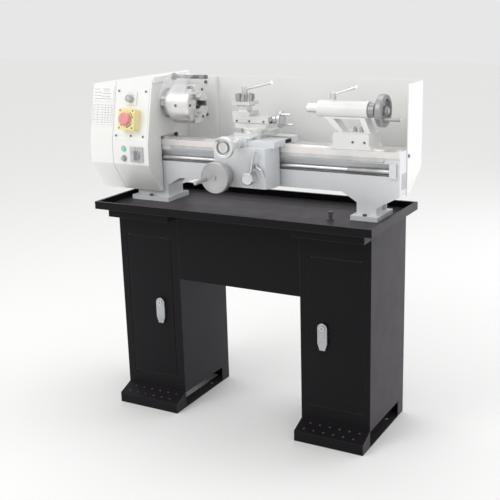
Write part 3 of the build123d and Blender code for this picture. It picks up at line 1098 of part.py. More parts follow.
# ---- splash guard and fixings -------------------------------------------
WING_FRONT_Y = CENTRE_Y + 12.0
with BuildPart() as splash_guard:
    inner_x = BED_RIGHT_X
    wing_low_z = BED_TOP_Z - WING_DROP
    block(plane_z(SPLASH_LOW_Z), (SPLASH_STEP_X, COVER_BACK_Y - SHEET),
          (inner_x + SHEET, COVER_BACK_Y), SPLASH_TOP_Z - SPLASH_LOW_Z)
    block(plane_z(SPLASH_LOW_Z), (SPLASH_STEP_X - SHEET, SPLASH_STEP_Y),
          (SPLASH_STEP_X, COVER_BACK_Y), SPLASH_TOP_Z - SPLASH_LOW_Z)
    block(plane_z(SPLASH_LOW_Z), (HEAD_RIGHT_X, SPLASH_STEP_Y),
          (SPLASH_STEP_X, SPLASH_STEP_Y + SHEET), SPLASH_TOP_Z - SPLASH_LOW_Z)
    profile(plane_x(inner_x), [(WING_FRONT_Y, SPLASH_TOP_Z), (COVER_BACK_Y, SPLASH_TOP_Z),
                               (COVER_BACK_Y, SPLASH_LOW_Z), (WING_FRONT_Y + 18.0, wing_low_z),
                               (WING_FRONT_Y, wing_low_z)], SHEET)
keep(splash_guard, "splash_guard")

GUARD_SCREWS = ((-247.0, SPINDLE_Z + 57.0), (-247.0, SPINDLE_Z - 49.0))
WING_SCREW = (WING_FRONT_Y + 10.0, BED_TOP_Z - 20.0)
with BuildPart() as fixings:
    for side in (-1, 1):
        for z in (DOOR_LOW_Z - DOOR_GAP - SHEET, DOOR_TOP_Z - SHEET):
            disc(plane_z(z), (side * PIVOT_X, PIVOT_Y), PIN_R, 2 * SHEET + DOOR_GAP)
    for x in (LEFT_FOOT, RIGHT_FOOT):
        for y in BOLT_Y:
            centre = (sum(x) / 2, y)
            disc(plane_z(CABINET_TOP_Z - SHEET - 12.0), centre, BOLT_R, TRAY_RIM + 12.0)
            disc(plane_z(CABINET_TOP_Z - SHEET - 6.0), centre, 6.5, 6.0)
            with BuildSketch(plane_z(TRAY_FLOOR_Z + FOOT_FLANGE)) as head:
                with Locations(centre):
                    RegularPolygon(6.5, 6)
            extrude(head.sketch, amount=5.5)
    for at in GUARD_SCREWS:
        disc(plane_y(SPLASH_STEP_Y), at, 5.5, 3.0)
    disc(plane_x(BED_RIGHT_X + SHEET), WING_SCREW, 5.0, 3.0)
keep(fixings, "fixings")

for name, piece in nodes.items():
    export_step(piece.part, f"parts/{name}.step")
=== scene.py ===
"""Finishes and fine pieces of the bench lathe on its cabinet stand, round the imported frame.

Everything is in metres in the lathe's own frame: origin on the floor, +X from the headstock to
the tailstock, +Y away from the operator, +Z up. Outlines of the fine pieces are in millimetres.
"""

import json
from math import asin, cos, degrees, pi, radians, sin

import bmesh
import bpy
from mathutils import Matrix, Vector


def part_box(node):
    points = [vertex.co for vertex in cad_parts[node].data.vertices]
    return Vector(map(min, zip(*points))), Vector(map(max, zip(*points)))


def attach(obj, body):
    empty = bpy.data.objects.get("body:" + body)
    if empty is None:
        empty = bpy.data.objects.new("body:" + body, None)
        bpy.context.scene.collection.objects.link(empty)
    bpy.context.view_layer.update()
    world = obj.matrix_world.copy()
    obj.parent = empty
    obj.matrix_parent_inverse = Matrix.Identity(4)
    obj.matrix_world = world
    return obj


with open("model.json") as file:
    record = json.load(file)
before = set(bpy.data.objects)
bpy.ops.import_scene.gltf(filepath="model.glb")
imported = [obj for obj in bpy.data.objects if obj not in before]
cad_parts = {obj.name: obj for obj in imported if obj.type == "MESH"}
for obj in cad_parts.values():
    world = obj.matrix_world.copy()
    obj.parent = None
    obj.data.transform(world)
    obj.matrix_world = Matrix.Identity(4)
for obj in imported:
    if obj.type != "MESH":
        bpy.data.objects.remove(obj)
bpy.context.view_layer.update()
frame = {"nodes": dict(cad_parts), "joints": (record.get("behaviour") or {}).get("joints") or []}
MM = 0.001
JOINTS = {joint["name"]: joint for joint in frame["joints"]}

X, Y, Z = Vector((1, 0, 0)), Vector((0, 1, 0)), Vector((0, 0, 1))
OPERATOR = -Y  # outward direction of every front face


def mm(*values):
    """A vector given in millimetres."""
    return Vector(values) * MM


def low(name):
    """Lowest corner of a node."""
    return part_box(name)[0]


def high(name):
    """Highest corner of a node."""
    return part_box(name)[1]


def middle(name):
    """Centre of a node's box."""
    return (low(name) + high(name)) / 2


def pivot(joint):
    """Point that a joint turns round or slides from."""
    return Vector(JOINTS[joint]["pos_m"])


SPINDLE = pivot("spindle_spin")


# ---- how finishes are made ------------------------------------------------
def colour(code):
    """Linear RGBA of an sRGB hex colour."""
    shares = [int(code[at:at + 2], 16) / 255 for at in (1, 3, 5)]
    linear = [c / 12.92 if c <= 0.04045 else ((c + 0.055) / 1.055) ** 2.4 for c in shares]
    return (*linear, 1.0)


def node(tree, kind, inputs=None, **settings):
    """Add a node; each input is a value or another node's output."""
    made = tree.nodes.new(kind)
    for name, value in settings.items():
        setattr(made, name, value)
    for name, value in (inputs or {}).items():
        if isinstance(value, bpy.types.NodeSocket):
            tree.links.new(value, made.inputs[name])
        else:
            made.inputs[name].default_value = value
    return made


def new_surface(name, shader):
    """Material with a Principled shader, and the place on the piece that its patterns read."""
    material = bpy.data.materials.new(name)
    material.use_nodes = True
    tree = material.node_tree
    tree.nodes.clear()
    surface = node(tree, "ShaderNodeBsdfPrincipled", shader)
    node(tree, "ShaderNodeOutputMaterial", {"Surface": surface.outputs["BSDF"]})
    place = node(tree, "ShaderNodeTexCoord").outputs["Object"]
    return material, tree, surface, place


def patches(tree, place, size, detail=2.0, stretch=(1, 1, 1)):
    """Noise whose patches are about `size` across, longer where `stretch` is larger."""
    scaled = node(tree, "ShaderNodeMapping", {
        "Vector": place, "Scale": tuple(1 / (size * share) for share in stretch)})
    return node(tree, "ShaderNodeTexNoise", {
        "Vector": scaled.outputs["Vector"], "Scale": 1.0, "Detail": detail}).outputs["Fac"]


NOISE_SPAN = {"From Min": 0.35, "From Max": 0.65}  # where most of a noise pattern lies


def two_tone(tree, pattern, tones):
    """Colour that drifts from one tone to another over a pattern."""
    share = node(tree, "ShaderNodeMapRange", {"Value": pattern, **NOISE_SPAN})
    return node(tree, "ShaderNodeMix", {
        "Factor": share.outputs["Result"], 6: colour(tones[0]), 7: colour(tones[1])},
        data_type="RGBA").outputs[2]


def texture(tree, surface, shine_pattern, shine, relief_pattern, depth):
    """Let roughness drift between two values, and raise the surface by `depth` at most."""
    rough = node(tree, "ShaderNodeMapRange", {
        "Value": shine_pattern, **NOISE_SPAN, "To Min": shine[0], "To Max": shine[1]})
    relief = node(tree, "ShaderNodeBump", {
        "Height": relief_pattern, "Distance": depth, "Strength": 1.0})
    tree.links.new(rough.outputs["Result"], surface.inputs["Roughness"])
    tree.links.new(relief.outputs["Normal"], surface.inputs["Normal"])


def worn_and_highlit_edges(tree, place, paint, bare_and_highlight_tone, radius=1.6 * MM):
    """Paint worn through to a paler tone in patches along its edges: partly wear, partly a painted
    edge highlight.
    """
    edge = node(tree, "ShaderNodeBevel", {"Radius": radius}, samples=4).outputs["Normal"]
    flat = node(tree, "ShaderNodeNewGeometry").outputs["Normal"]
    same = node(tree, "ShaderNodeVectorMath", {0: edge, 1: flat}, operation="DOT_PRODUCT")
    sharp = node(tree, "ShaderNodeMapRange", {
        "Value": same.outputs["Value"], "From Min": 0.86, "From Max": 0.995,
        "To Min": 0.8, "To Max": 0.0})
    scuffs = patches(tree, place, 18 * MM, 5.0)
    edge_wear_and_highlight = node(tree, "ShaderNodeMath", {0: sharp.outputs["Result"], 1: scuffs},
                  operation="MULTIPLY")
    return node(tree, "ShaderNodeMix", {
        "Factor": edge_wear_and_highlight.outputs["Value"], 6: paint, 7: colour(bare_and_highlight_tone)}, data_type="RGBA").outputs[2]


def coated(name, tones, shine, peel, depth, edge_wear_and_highlight=None, shader=None):
    """Sprayed coat: faint clouding, smudges and soft orange peel, `peel` across."""
    material, tree, surface, place = new_surface(name, shader)
    clouding = patches(tree, place, 140 * MM, 4.0)
    paint = two_tone(tree, clouding, tones)
    # paler edges: wear, and a painted highlight along the edges
    if edge_wear_and_highlight:
        paint = worn_and_highlit_edges(tree, place, paint, edge_wear_and_highlight)
    tree.links.new(paint, surface.inputs["Base Color"])
    smudges = patches(tree, place, 60 * MM, 3.0)
    texture(tree, surface, smudges, shine, patches(tree, place, peel), depth)
    return material


def machined(name, tones, shine, mark, along, depth=0.02 * MM):
    """Bare metal with straight tool marks, `mark` wide and longer by `along` on each axis."""
    material, tree, surface, place = new_surface(name, {"Metallic": 1.0})
    handling = patches(tree, place, 70 * MM, 4.0)
    tree.links.new(two_tone(tree, handling, tones), surface.inputs["Base Color"])
    marks = patches(tree, place, mark, 3.0, along)
    texture(tree, surface, marks, shine, marks, depth)
    return material


def turned(name, tones, shine, centre, axis, pitch, metallic=1.0):
    """Metal faced on a lathe: rings round the axis through `centre`, `pitch` apart."""
    material, tree, surface, place = new_surface(name, {"Metallic": metallic})
    off = node(tree, "ShaderNodeVectorMath", {0: place, 1: tuple(centre)},
               operation="SUBTRACT").outputs["Vector"]
    across = node(tree, "ShaderNodeVectorMath", {0: off, 1: tuple(Vector((1, 1, 1)) - axis)},
                  operation="MULTIPLY").outputs["Vector"]
    radius = node(tree, "ShaderNodeVectorMath", {0: across}, operation="LENGTH").outputs["Value"]
    depth = node(tree, "ShaderNodeVectorMath", {0: off, 1: tuple(axis)},
                 operation="DOT_PRODUCT").outputs["Value"]
    spiral = node(tree, "ShaderNodeMath", {0: radius, 1: depth}, operation="ADD").outputs["Value"]
    turns = node(tree, "ShaderNodeMath", {0: spiral, 1: 1 / pitch},
                 operation="MULTIPLY").outputs["Value"]
    rings = node(tree, "ShaderNodeTexNoise", {"W": turns, "Scale": 1.0, "Detail": 4.0},
                 noise_dimensions="1D").outputs["Fac"]
    handling = patches(tree, place, 50 * MM, 4.0)
    tree.links.new(two_tone(tree, handling, tones), surface.inputs["Base Color"])
    texture(tree, surface, rings, shine, rings, 0.02 * MM)
    return material


def moulded(name, tones, shine, grain, depth, coat=0.0):
    """Moulded plastic, rubber or print: a fine grain, and a tone that hardly drifts."""
    material, tree, surface, place = new_surface(name, {"IOR": 1.46, "Coat Weight": coat})
    flow = patches(tree, place, 12 * MM, 3.0)
    tree.links.new(two_tone(tree, flow, tones), surface.inputs["Base Color"])
    smudges = patches(tree, place, 9 * MM)
    texture(tree, surface, smudges, shine, patches(tree, place, grain), depth)
    return material


def polycarbonate():
    """Clear sheet bent by heat: glossy, with the long soft ripples that bending leaves."""
    material, tree, surface, place = new_surface("clear_polycarbonate_sheet", {
        "Base Color": colour("#F2F4F6"), "IOR": 1.58, "Alpha": 0.16})
    ripples = patches(tree, place, 25 * MM, 1.0, (1, 3, 3))
    smears = patches(tree, place, 40 * MM, 4.0)
    texture(tree, surface, smears, (0.05, 0.22), ripples, 0.3 * MM)
    return material


# ---- the lathe's finishes -------------------------------------------------
# Sheet steel in black textured powder coat: satin, with a dusty sheen at low angles and edges
# rubbed paler, the paler tone partly wear and partly a painted edge highlight. Its texture is
# really 0.5 mm across, and is drawn at 4 mm to show.
black_coat = coated(
    "black_powder_coat", ("#070608", "#09080A"), (0.36, 0.42), 4 * MM, 0.10 * MM, edge_wear_and_highlight="#6A625D",
    shader={"Specular IOR Level": 0.10, "Sheen Weight": 0.26, "Sheen Roughness": 0.5,
            "Sheen Tint": colour("#C9C0CC")})

# The same coat polished by boots on the foot rests' bosses: greyer and shinier than the tread.
# The greyer tone is partly wear and partly a painted highlight on the domes.
worn_and_highlit_boss_coat = coated("rubbed_and_highlit_black_coat", ("#3A3634", "#57514D"), (0.30, 0.42), 4 * MM, 0.06 * MM,
                   shader={"Specular IOR Level": 0.3})

# Sheet steel casings in white powder coat: even and half gloss, with a shallow 7 mm orange peel.
white_coat = coated("white_powder_coat", ("#F3F3F1", "#EFEFED"), (0.30, 0.36), 7 * MM, 0.02 * MM)

# Cast iron filled and sprayed in pale grey enamel: broad soft waves, 16 mm long, under the gloss.
grey_enamel = coated("grey_machine_enamel", ("#E3E5E7", "#DBDEE1"), (0.28, 0.45),
                     16 * MM, 0.25 * MM)

# The tailstock's casting has the same waves under white enamel.
white_enamel = coated("white_machine_enamel", ("#EFEFED", "#E6E7E6"), (0.28, 0.45),
                      16 * MM, 0.25 * MM)

# Grey enamel painted darker for the shade down in a cast pocket.
pocket_shade_enamel = coated("painted_shade_machine_enamel", ("#B9BCBF", "#AFB2B6"), (0.35, 0.5),
                       16 * MM, 0.25 * MM)

# The motor's housing in dark grey enamel, thinly sprayed: rougher, with 8 mm waves.
motor_enamel = coated("dark_motor_enamel", ("#5B5E62", "#4B4E52"), (0.35, 0.55), 8 * MM, 0.2 * MM)

# Printed aluminium plate over the headstock's front: a smooth, nearly flat lacquer.
panel_coat = coated("printed_aluminium_panel", ("#F6F6F5", "#F0F0EF"), (0.30, 0.42), 9 * MM,
                    0.02 * MM)

# Surface-ground iron ways: a bright band with long straight lines down the bed. Grinding lines
# are really 0.1 mm wide, and are drawn at 3 mm to show.
ground_ways = machined("ground_cast_iron", ("#F3F0ED", "#E6E3E0"), (0.24, 0.42), 3 * MM,
                       (40, 1, 1))

# Ground steel slides: a softer lengthwise lay, shorter than the ways' and drawn as coarse.
ground_steel = machined("ground_steel", ("#EFEFEE", "#DEDEDE"), (0.22, 0.40), 2.5 * MM,
                        (14, 1, 1))

# Hardened jaws, gears and shafts: a fine cross-grind that breaks up their highlights, too fine
# to show and so drawn 2 mm wide.
cut_steel = machined("cut_steel", ("#DADADA", "#C6C6C7"), (0.25, 0.45), 2 * MM, (1, 6, 1))

# Screws blackened in hot oxide: a dull grey with soft highlights over turning marks, which are
# drawn 3 mm wide to show.
black_oxide = machined("black_oxide_steel", ("#858587", "#717173"), (0.34, 0.52), 3 * MM,
                       (1, 1, 2))

# Oxide worn by spanners and chips: paler and a little shinier.
worn_oxide = machined("worn_oxide_steel", ("#C4C3C3", "#AEADAD"), (0.30, 0.46), 3 * MM, (1, 1, 2))

# Die-cast zinc latches in dulled chrome plate: smooth, with a faint upright lay.
chrome = machined("chrome_plate", ("#B4B6B8", "#A6A8AA"), (0.20, 0.32), 9 * MM, (1, 1, 3),
                  0.01 * MM)

# Levers and small fittings in satin nickel: an even brightness with no lay.
satin_nickel = machined("satin_nickel_plate", ("#E4E5E6", "#D2D3D5"), (0.24, 0.38), 3 * MM,
                        (1, 1, 1))

# Turned faces show rings. The feed marks are really 0.1 to 0.2 mm apart, and are drawn at 1.2
# to 1.5 mm to show. The chuck's body is bright bare steel.
chuck_steel = turned("turned_chuck_steel", ("#EFEEED", "#E2E1E0"), (0.30, 0.46), SPINDLE, X,
                     1.2 * MM)

# Handwheels of grey iron keep a thin oil film, so they are darker and only half metallic.
tail_wheel_iron = turned("turned_grey_iron_tail_wheel", ("#ABABAC", "#9A9A9B"), (0.30, 0.48),
                         SPINDLE, X, 1.5 * MM, metallic=0.55)
apron_wheel_iron = turned("turned_grey_iron_apron_wheel", ("#BEBEBE", "#AFAFAF"), (0.30, 0.48),
                          pivot("apron_wheel_turn"), Y, 1.5 * MM, metallic=0.55)

# The feed wheels are polished aluminium and bright steel: whiter, with crisper rings.
cross_wheel_metal = turned("turned_aluminium_cross_wheel", ("#EDEDEC", "#DCDCDC"), (0.24, 0.40),
                           pivot("cross_wheel_turn"), Y, 1.2 * MM, metallic=0.7)
compound_wheel_steel = turned("turned_steel_compound_wheel", ("#DCDCDC", "#C6C6C7"), (0.22, 0.40),
                              pivot("compound_wheel_turn"), X, 1.2 * MM)

clear_sheet = polycarbonate()

# Belt and wipers of neoprene: matte black with a faint bloom.
neoprene = moulded("neoprene_rubber", ("#1A1A1B", "#262627"), (0.65, 0.85), 2 * MM, 0.1 * MM)

# ABS mouldings: a spark-eroded grain, really 0.1 mm across and drawn at 2.5 to 4 mm to show. The
# knobs and the grip are matte, and the emergency stop's box and mushroom are glossier.
knob_plastic = moulded("knob_grey_abs", ("#B5B5B6", "#A8A8AA"), (0.38, 0.55), 2.5 * MM,
                       0.06 * MM)
switch_plastic = moulded("grey_abs", ("#C9CACB", "#BFC0C1"), (0.40, 0.55), 2.5 * MM, 0.05 * MM)
yellow_plastic = moulded("yellow_abs", ("#F5EAB2", "#F1E3A0"), (0.32, 0.46), 3 * MM, 0.05 * MM,
                         coat=0.2)
red_plastic = moulded("red_abs", ("#EC9C9E", "#E48F91"), (0.22, 0.34), 4 * MM, 0.04 * MM, coat=0.5)

# The power lamp's lens is glossy acrylic, pale when it is off.
green_lens = moulded("green_acrylic_lens", ("#9DE2CD", "#84D8BD"), (0.12, 0.22), 3 * MM, 0.05 * MM,
                     coat=0.6)

# Screen-printed inks lie flat and dry: a soft violet grey, and a darker one for marks. The
# darker one also paints the shade in the latches' key slots.
print_ink = moulded("screen_print_ink", ("#8C8798", "#7C7788"), (0.45, 0.6), 2 * MM, 0.01 * MM)
dark_ink_and_slot_shade = moulded("dark_marking_ink_and_slot_shade", ("#55565A", "#4A4B4F"), (0.45, 0.6), 2 * MM, 0.01 * MM)

# ---- finishes on the frame's own nodes ------------------------------------
FINISH_OF_SLOT = {
    "stand_black": black_coat, "latch_chrome": chrome, "steel_dark": black_oxide,
    "steel_bright": ground_steel, "casting_grey": grey_enamel, "casing_white": white_coat,
    "casting_white": white_enamel, "chuck_steel": chuck_steel, "guard_clear": clear_sheet,
    "wheel_grey": apron_wheel_iron, "wheel_silver": satin_nickel, "belt_rubber": neoprene,
    "panel_face": panel_coat, "knob_dark": knob_plastic, "switch_grey": switch_plastic,
    "estop_yellow": yellow_plastic, "estop_red": red_plastic, "lamp_green": green_lens,
    "motor_grey": motor_enamel,
}
# nodes that are made or worn otherwise than the rest of their slot
NODES_OF_FINISH = {
    cut_steel: ("jaw_1", "jaw_2", "jaw_3", "spindle_gear", "idler_gear", "screw_gear",
                "lead_screw", "rack"),
    worn_oxide: ("clamp_screws",),
    grey_enamel: ("screw_bracket",),
    tail_wheel_iron: ("tailstock_handwheel",),
    cross_wheel_metal: ("cross_handwheel",),
    compound_wheel_steel: ("compound_handwheel",),
}


def finish_frame():
    """Give each CAD node the finish of its slot, or its own."""
    for part in frame["nodes"].values():
        part.data.materials[0] = FINISH_OF_SLOT[part.data.materials[0].name]
    for finish, names in NODES_OF_FINISH.items():
        for name in names:
            frame["nodes"][name].data.materials[0] = finish


def grind_ways():
    """Leave the bed's ways bare above the rack; the casting stays painted."""
    mesh = frame["nodes"]["bed"].data
    mesh.materials.append(ground_ways)
    ways_low = high("rack").z - 0.5 * MM
    for face in mesh.polygons:
        on_top_or_side = face.normal.z > 0.3 or abs(face.normal.y) > 0.9
        if face.center.z > ways_low and on_top_or_side:
            face.material_index = len(mesh.materials) - 1


def soften(part, width):
    """Break the sharp edges of a CAD node, as deburring or casting leaves them."""
    mesh = part.data
    if "custom_normal" in mesh.attributes:
        mesh.attributes.remove(mesh.attributes["custom_normal"])
    mesh.polygons.foreach_set("use_smooth", [True] * len(mesh.polygons))
    weld = part.modifiers.new("weld", "WELD")
    weld.merge_threshold = 0.002 * MM
    edge = part.modifiers.new("edges", "BEVEL")
    edge.width = width
    edge.segments = 2
    edge.limit_method = "ANGLE"
    edge.angle_limit = radians(32)
    edge.harden_normals = True
    edge.use_clamp_overlap = True


# rounding of a casting's edges, of bent and coated sheet, and of deburred steel or plastic
CAST_EDGE, SHEET_EDGE, CUT_EDGE = 1.6 * MM, 0.8 * MM, 0.35 * MM
EDGE_OF_FINISH = {
    grey_enamel: CAST_EDGE, white_enamel: CAST_EDGE, motor_enamel: CAST_EDGE,
    black_coat: SHEET_EDGE, white_coat: SHEET_EDGE,
}
finish_frame()
grind_ways()
for cad_node in frame["nodes"].values():
    soften(cad_node, EDGE_OF_FINISH.get(cad_node.data.materials[0], CUT_EDGE))


# ---- how fine pieces are made ---------------------------------------------
def facing(at, out, up=Z):
    """Frame at a point whose own z axis points out of the surface and whose y axis points up."""
    out = out.normalized()
    side = up.cross(out).normalized()
    turned_to = Matrix((side, out.cross(side), out)).transposed().to_4x4()
    return Matrix.Translation(at) @ turned_to


def rounded(wide, tall, corner, centre=(0, 0), steps=4):
    """Outline of a rectangle with rounded corners."""
    points = []
    for quarter, (right_or_left, up_or_down) in enumerate(((1, 1), (-1, 1), (-1, -1), (1, -1))):
        for step in range(steps + 1):
            angle = (quarter + step / steps) * pi / 2
            points.append((centre[0] + right_or_left * (wide / 2 - corner) + corner * cos(angle),
                           centre[1] + up_or_down * (tall / 2 - corner) + corner * sin(angle)))
    return points


def circle(radius, centre=(0, 0), sides=32):
    """Outline of a round."""
    return [(centre[0] + radius * cos(2 * pi * k / sides),
             centre[1] + radius * sin(2 * pi * k / sides)) for k in range(sides)]


def stroke(start, end, width):
    """Outline of a straight printed line."""
    a, b = Vector(start), Vector(end)
    off = (b - a).orthogonal().normalized() * width / 2
    return [tuple(a + off), tuple(b + off), tuple(b - off), tuple(a - off)]


def arc(radius, start, end, width, steps=10):
    """Outline of a curved line, angles in degrees."""
    angles = [radians(start + (end - start) * k / steps) for k in range(steps + 1)]
    inner = [((radius - width / 2) * cos(a), (radius - width / 2) * sin(a)) for a in angles]
    outer = [((radius + width / 2) * cos(a), (radius + width / 2) * sin(a)) for a in angles]
    return outer + inner[::-1]


def slab(bm, place, outline, bottom, top):
    """Plate between two heights over a frame."""
    rings = [[bm.verts.new(place @ mm(x, y, z)) for x, y in outline] for z in (bottom, top)]
    bm.faces.new(rings[0][::-1])
    bm.faces.new(rings[1])
    for k in range(len(outline)):
        n = (k + 1) % len(outline)
        bm.faces.new((rings[0][k], rings[0][n], rings[1][n], rings[1][k]))


def revolve(bm, place, profile, sides=48):
    """Turned shape: (radius, height) pairs round a frame's z axis."""
    rings = []
    for radius, height in profile:
        outline = circle(radius, sides=sides) if radius else [(0, 0)]
        rings.append([bm.verts.new(place @ mm(x, y, height)) for x, y in outline])
    for first, second in zip(rings, rings[1:]):
        for k in range(sides):
            n = (k + 1) % sides
            loop = [first[k % len(first)], first[n % len(first)],
                    second[n % len(second)], second[k % len(second)]]
            bm.faces.new(list(dict.fromkeys(loop)))


def wire(bm, path, radius, sides=14):
    """Round bead through points given in metres."""
    rings = []
    for k, point in enumerate(path):
        along = (path[min(k + 1, len(path) - 1)] - path[max(k - 1, 0)]).normalized()
        side = along.orthogonal() if k == 0 else side - along * side.dot(along)
        side.normalize()
        across = along.cross(side)
        rings.append([bm.verts.new(point + (side * x + across * y) * MM)
                      for x, y in circle(radius, sides=sides)])
    for first, second in zip(rings, rings[1:]):
        for k in range(sides):
            n = (k + 1) % sides
            bm.faces.new((first[k], first[n], second[n], second[k]))
    bm.faces.new(rings[0][::-1])
    bm.faces.new(rings[-1])


def piece(name, bm, body, material, edge=0.0):
    """Turn the mesh into a named piece that moves with a body."""
    bmesh.ops.recalc_face_normals(bm, faces=bm.faces)
    mesh = bpy.data.meshes.new(name)
    bm.to_mesh(mesh)
    bm.free()
    mesh.materials.append(material)
    mesh.polygons.foreach_set("use_smooth", [True] * len(mesh.polygons))
    mesh.set_sharp_from_angle(angle=radians(35))
    made = bpy.data.objects.new(name, mesh)
    bpy.context.scene.collection.objects.link(made)
    if edge:
        rounding = made.modifiers.new("edges", "BEVEL")
        rounding.width = edge
        rounding.segments = 2
        rounding.harden_normals = True
    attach(made, body)


def screw_head(bm, place, radius, height=2.0):
    """Cap head with a socket."""
    socket = radius * 0.55
    revolve(bm, place, [(radius, 0), (radius, height * 0.8), (radius * 0.88, height),
                        (socket, height)])
    revolve(bm, place, [(socket, height), (radius * 0.5, height * 0.25), (0, height * 0.2)])


def screws(name, places, radius, body, material, height=2.0):
    """One piece of equal screws."""
    bm = bmesh.new()
    for place in places:
        screw_head(bm, place, radius, height)
    piece(name, bm, body, material)


def turned_piece(name, place, profile, body, material, sides=48):
    """One piece turned round a frame's z axis."""
    bm = bmesh.new()
    revolve(bm, place, profile, sides)
    piece(name, bm, body, material)


def plate(name, place, outline, heights, body, material, edge=0.0):
    """One flat piece between two heights over a frame."""
    bm = bmesh.new()
    slab(bm, place, outline, *heights)
    piece(name, bm, body, material, edge)


# The headstock's front leans back; its labels and knobs sit square to it.
LEAN_OUT = Vector(JOINTS["speed_knob_turn"]["axis"]).normalized()
LEAN_UP = X.cross(LEAN_OUT).normalized() * (1 if X.cross(LEAN_OUT).z > 0 else -1)
PANEL_LOW = Vector((0, low("control_panel").y, low("control_panel").z))


def on_lean(x, z, out=0.0):
    """Frame on the leaning front at x and z, `out` millimetres proud of it."""
    at = PANEL_LOW + LEAN_UP * ((z - PANEL_LOW.z) / LEAN_UP.z) + LEAN_OUT * out * MM
    at.x = x
    return facing(at, LEAN_OUT)


def stands_out(name):
    """How far a node stands out of the leaning front, in millimetres."""
    corners = frame["nodes"][name].data.vertices
    return max((corner.co - PANEL_LOW).dot(LEAN_OUT) for corner in corners) / MM


INK = 0.15  # height of a printed line


# ---- headstock --------------------------------------------------------------
def data_plate():
    """Blank plate on the gear cover: a block of plain lines over an empty table."""
    across = (low("gear_cover").x + low("control_panel").x - 7 * MM) / 2
    top = high("control_panel").z
    upper_z, lower_z = top - 24 * MM, top - 86 * MM
    for name, z, tall in (("data_plate_upper", upper_z, 46), ("data_plate_lower", lower_z, 68)):
        plate(name, on_lean(across, z, -1.5), rounded(80, tall, 3), (0.0, 2.0),
              "gear_cover", panel_coat, 0.2 * MM)
    bm = bmesh.new()
    # each plain line's centre and length
    for x, y, wide in ((-24, 14, 22), (12, 15, 30), (12, 9, 24), (-20, 4, 30), (14, 1, 34),
                       (-22, -6, 26), (10, -8, 38), (0, -16, 66)):
        slab(bm, on_lean(across, upper_z, 0.5),
             stroke((x - wide / 2, y), (x + wide / 2, y), 1.1), 0.0, INK)
    for row in range(8):
        y = 28 - 8 * row
        slab(bm, on_lean(across, lower_z, 0.5), stroke((-36, y), (36, y), 0.6), 0.0, INK)
    for x in (-36, -18, 0, 12, 24, 36):
        slab(bm, on_lean(across, lower_z, 0.5), stroke((x, -28), (x, 28), 0.6), 0.0, INK)
    piece("data_plate_print", bm, "gear_cover", print_ink)


def panel_seam():
    """Line where the switch panel meets the lower casing."""
    left, right = low("control_panel").x - 5 * MM, high("headstock_cover").x - 4 * MM
    at = Vector(((left + right) / 2, PANEL_LOW.y, PANEL_LOW.z - 9 * MM))
    plate("panel_seam", facing(at, OPERATOR), rounded((right - left) / MM, 1.2, 0.3),
          (-0.4, 0.25), "stand", dark_ink_and_slot_shade)


def panel_screws():
    """Four screws at the switch panel's corners, and one under the emergency stop."""
    panel_low, panel_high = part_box("control_panel")
    places = ((panel_low.x + 10 * MM, panel_high.z - 14 * MM),
              (panel_high.x - 12 * MM, panel_high.z - 14 * MM),
              (panel_low.x + 9 * MM, panel_low.z + 13 * MM),
              (panel_high.x - 12 * MM, panel_low.z + 13 * MM),
              (middle("estop_box").x, panel_low.z + 14 * MM))
    screws("panel_screws", [on_lean(x, z, 2.0) for x, z in places], 3.2, "stand",
           black_oxide, 1.6)


def speed_scale():
    """Plate and eleven ticks round the speed knob, and the knob's cap with its pointer."""
    knob = pivot("speed_knob_turn")
    plate("speed_scale_plate", on_lean(knob.x + 4 * MM, knob.z, 1.6), rounded(40, 42, 2),
          (0.0, 0.8), "stand", panel_coat, 0.15 * MM)
    bm = bmesh.new()
    for tick in range(11):
        angle = radians(225 - 27 * tick)
        ends = [(radius * cos(angle), radius * sin(angle)) for radius in (15.0, 17.5)]
        slab(bm, on_lean(knob.x, knob.z, 2.4), stroke(*ends, 0.9), 0.0, 0.12)
    piece("speed_scale_marks", bm, "stand", dark_ink_and_slot_shade)
    bm = bmesh.new()
    cap = on_lean(knob.x, knob.z, stands_out("speed_knob") - 0.4)
    slab(bm, cap, stroke((0, 3), (0, 10.5), 1.4), 0.0, 0.6)
    revolve(bm, cap, [(6.0, 0.0), (6.0, 0.4), (5.4, 0.6), (0, 0.6)])
    piece("speed_knob_cap", bm, "speed_knob", switch_plastic)


LID_THICK = 2.4


def emergency_stop():
    """Raised lid with its four screws, and turn arrows round the mushroom."""
    reach = stands_out("estop_box")
    centre = middle("estop_box")
    lid = on_lean(centre.x, centre.z - reach * MM * LEAN_OUT.z / 2, reach - 1.4)
    plate("estop_lid", lid, rounded(57, 63, 5), (0.0, LID_THICK), "stand",
          yellow_plastic, 0.7 * MM)
    corners = ((-24, 27), (24, 27), (-24, -27), (24, -27))
    screws("estop_lid_screws", [lid @ Matrix.Translation(mm(x, y, LID_THICK)) for x, y in corners],
           2.6, "stand", black_oxide, 0.8)
    bm = bmesh.new()
    for start in (-75, 15, 195):
        tip, back = radians(start - 7), radians(start - 7) + 0.14
        head = [(28.5 * cos(back), 28.5 * sin(back)), (21.5 * cos(back), 21.5 * sin(back)),
                (25 * cos(tip), 25 * sin(tip))]
        for outline in (arc(25.0, start, start + 42, 2.2), head):
            slab(bm, lid, outline, LID_THICK, LID_THICK + INK)
    piece("estop_arrows", bm, "stand", dark_ink_and_slot_shade)


def rotary_switch():
    """Raised grip with a pointer, and plain position marks on the plate."""
    axis = pivot("switch_knob_turn")
    grip = facing(Vector((axis.x, low("switch_knob").y, axis.z)), OPERATOR)
    plate("switch_grip", grip, rounded(7, 25, 3), (-7.0, 1.8), "switch_knob",
          switch_plastic, 0.8 * MM)
    plate("switch_pointer", grip, stroke((0, 5), (0, 11), 1.4), (1.8, 2.0), "switch_knob",
          dark_ink_and_slot_shade)
    face = facing(Vector((axis.x, low("switch_plate").y, axis.z)), OPERATOR)
    bm = bmesh.new()
    for dot in ((-17, 9), (0, 19.5), (17, 9)):
        slab(bm, face, circle(1.6, dot, 16), -0.1, INK)
    slab(bm, face, arc(17.5, 200, 340, 0.9, 20), -0.1, INK)
    piece("switch_marks", bm, "stand", dark_ink_and_slot_shade)


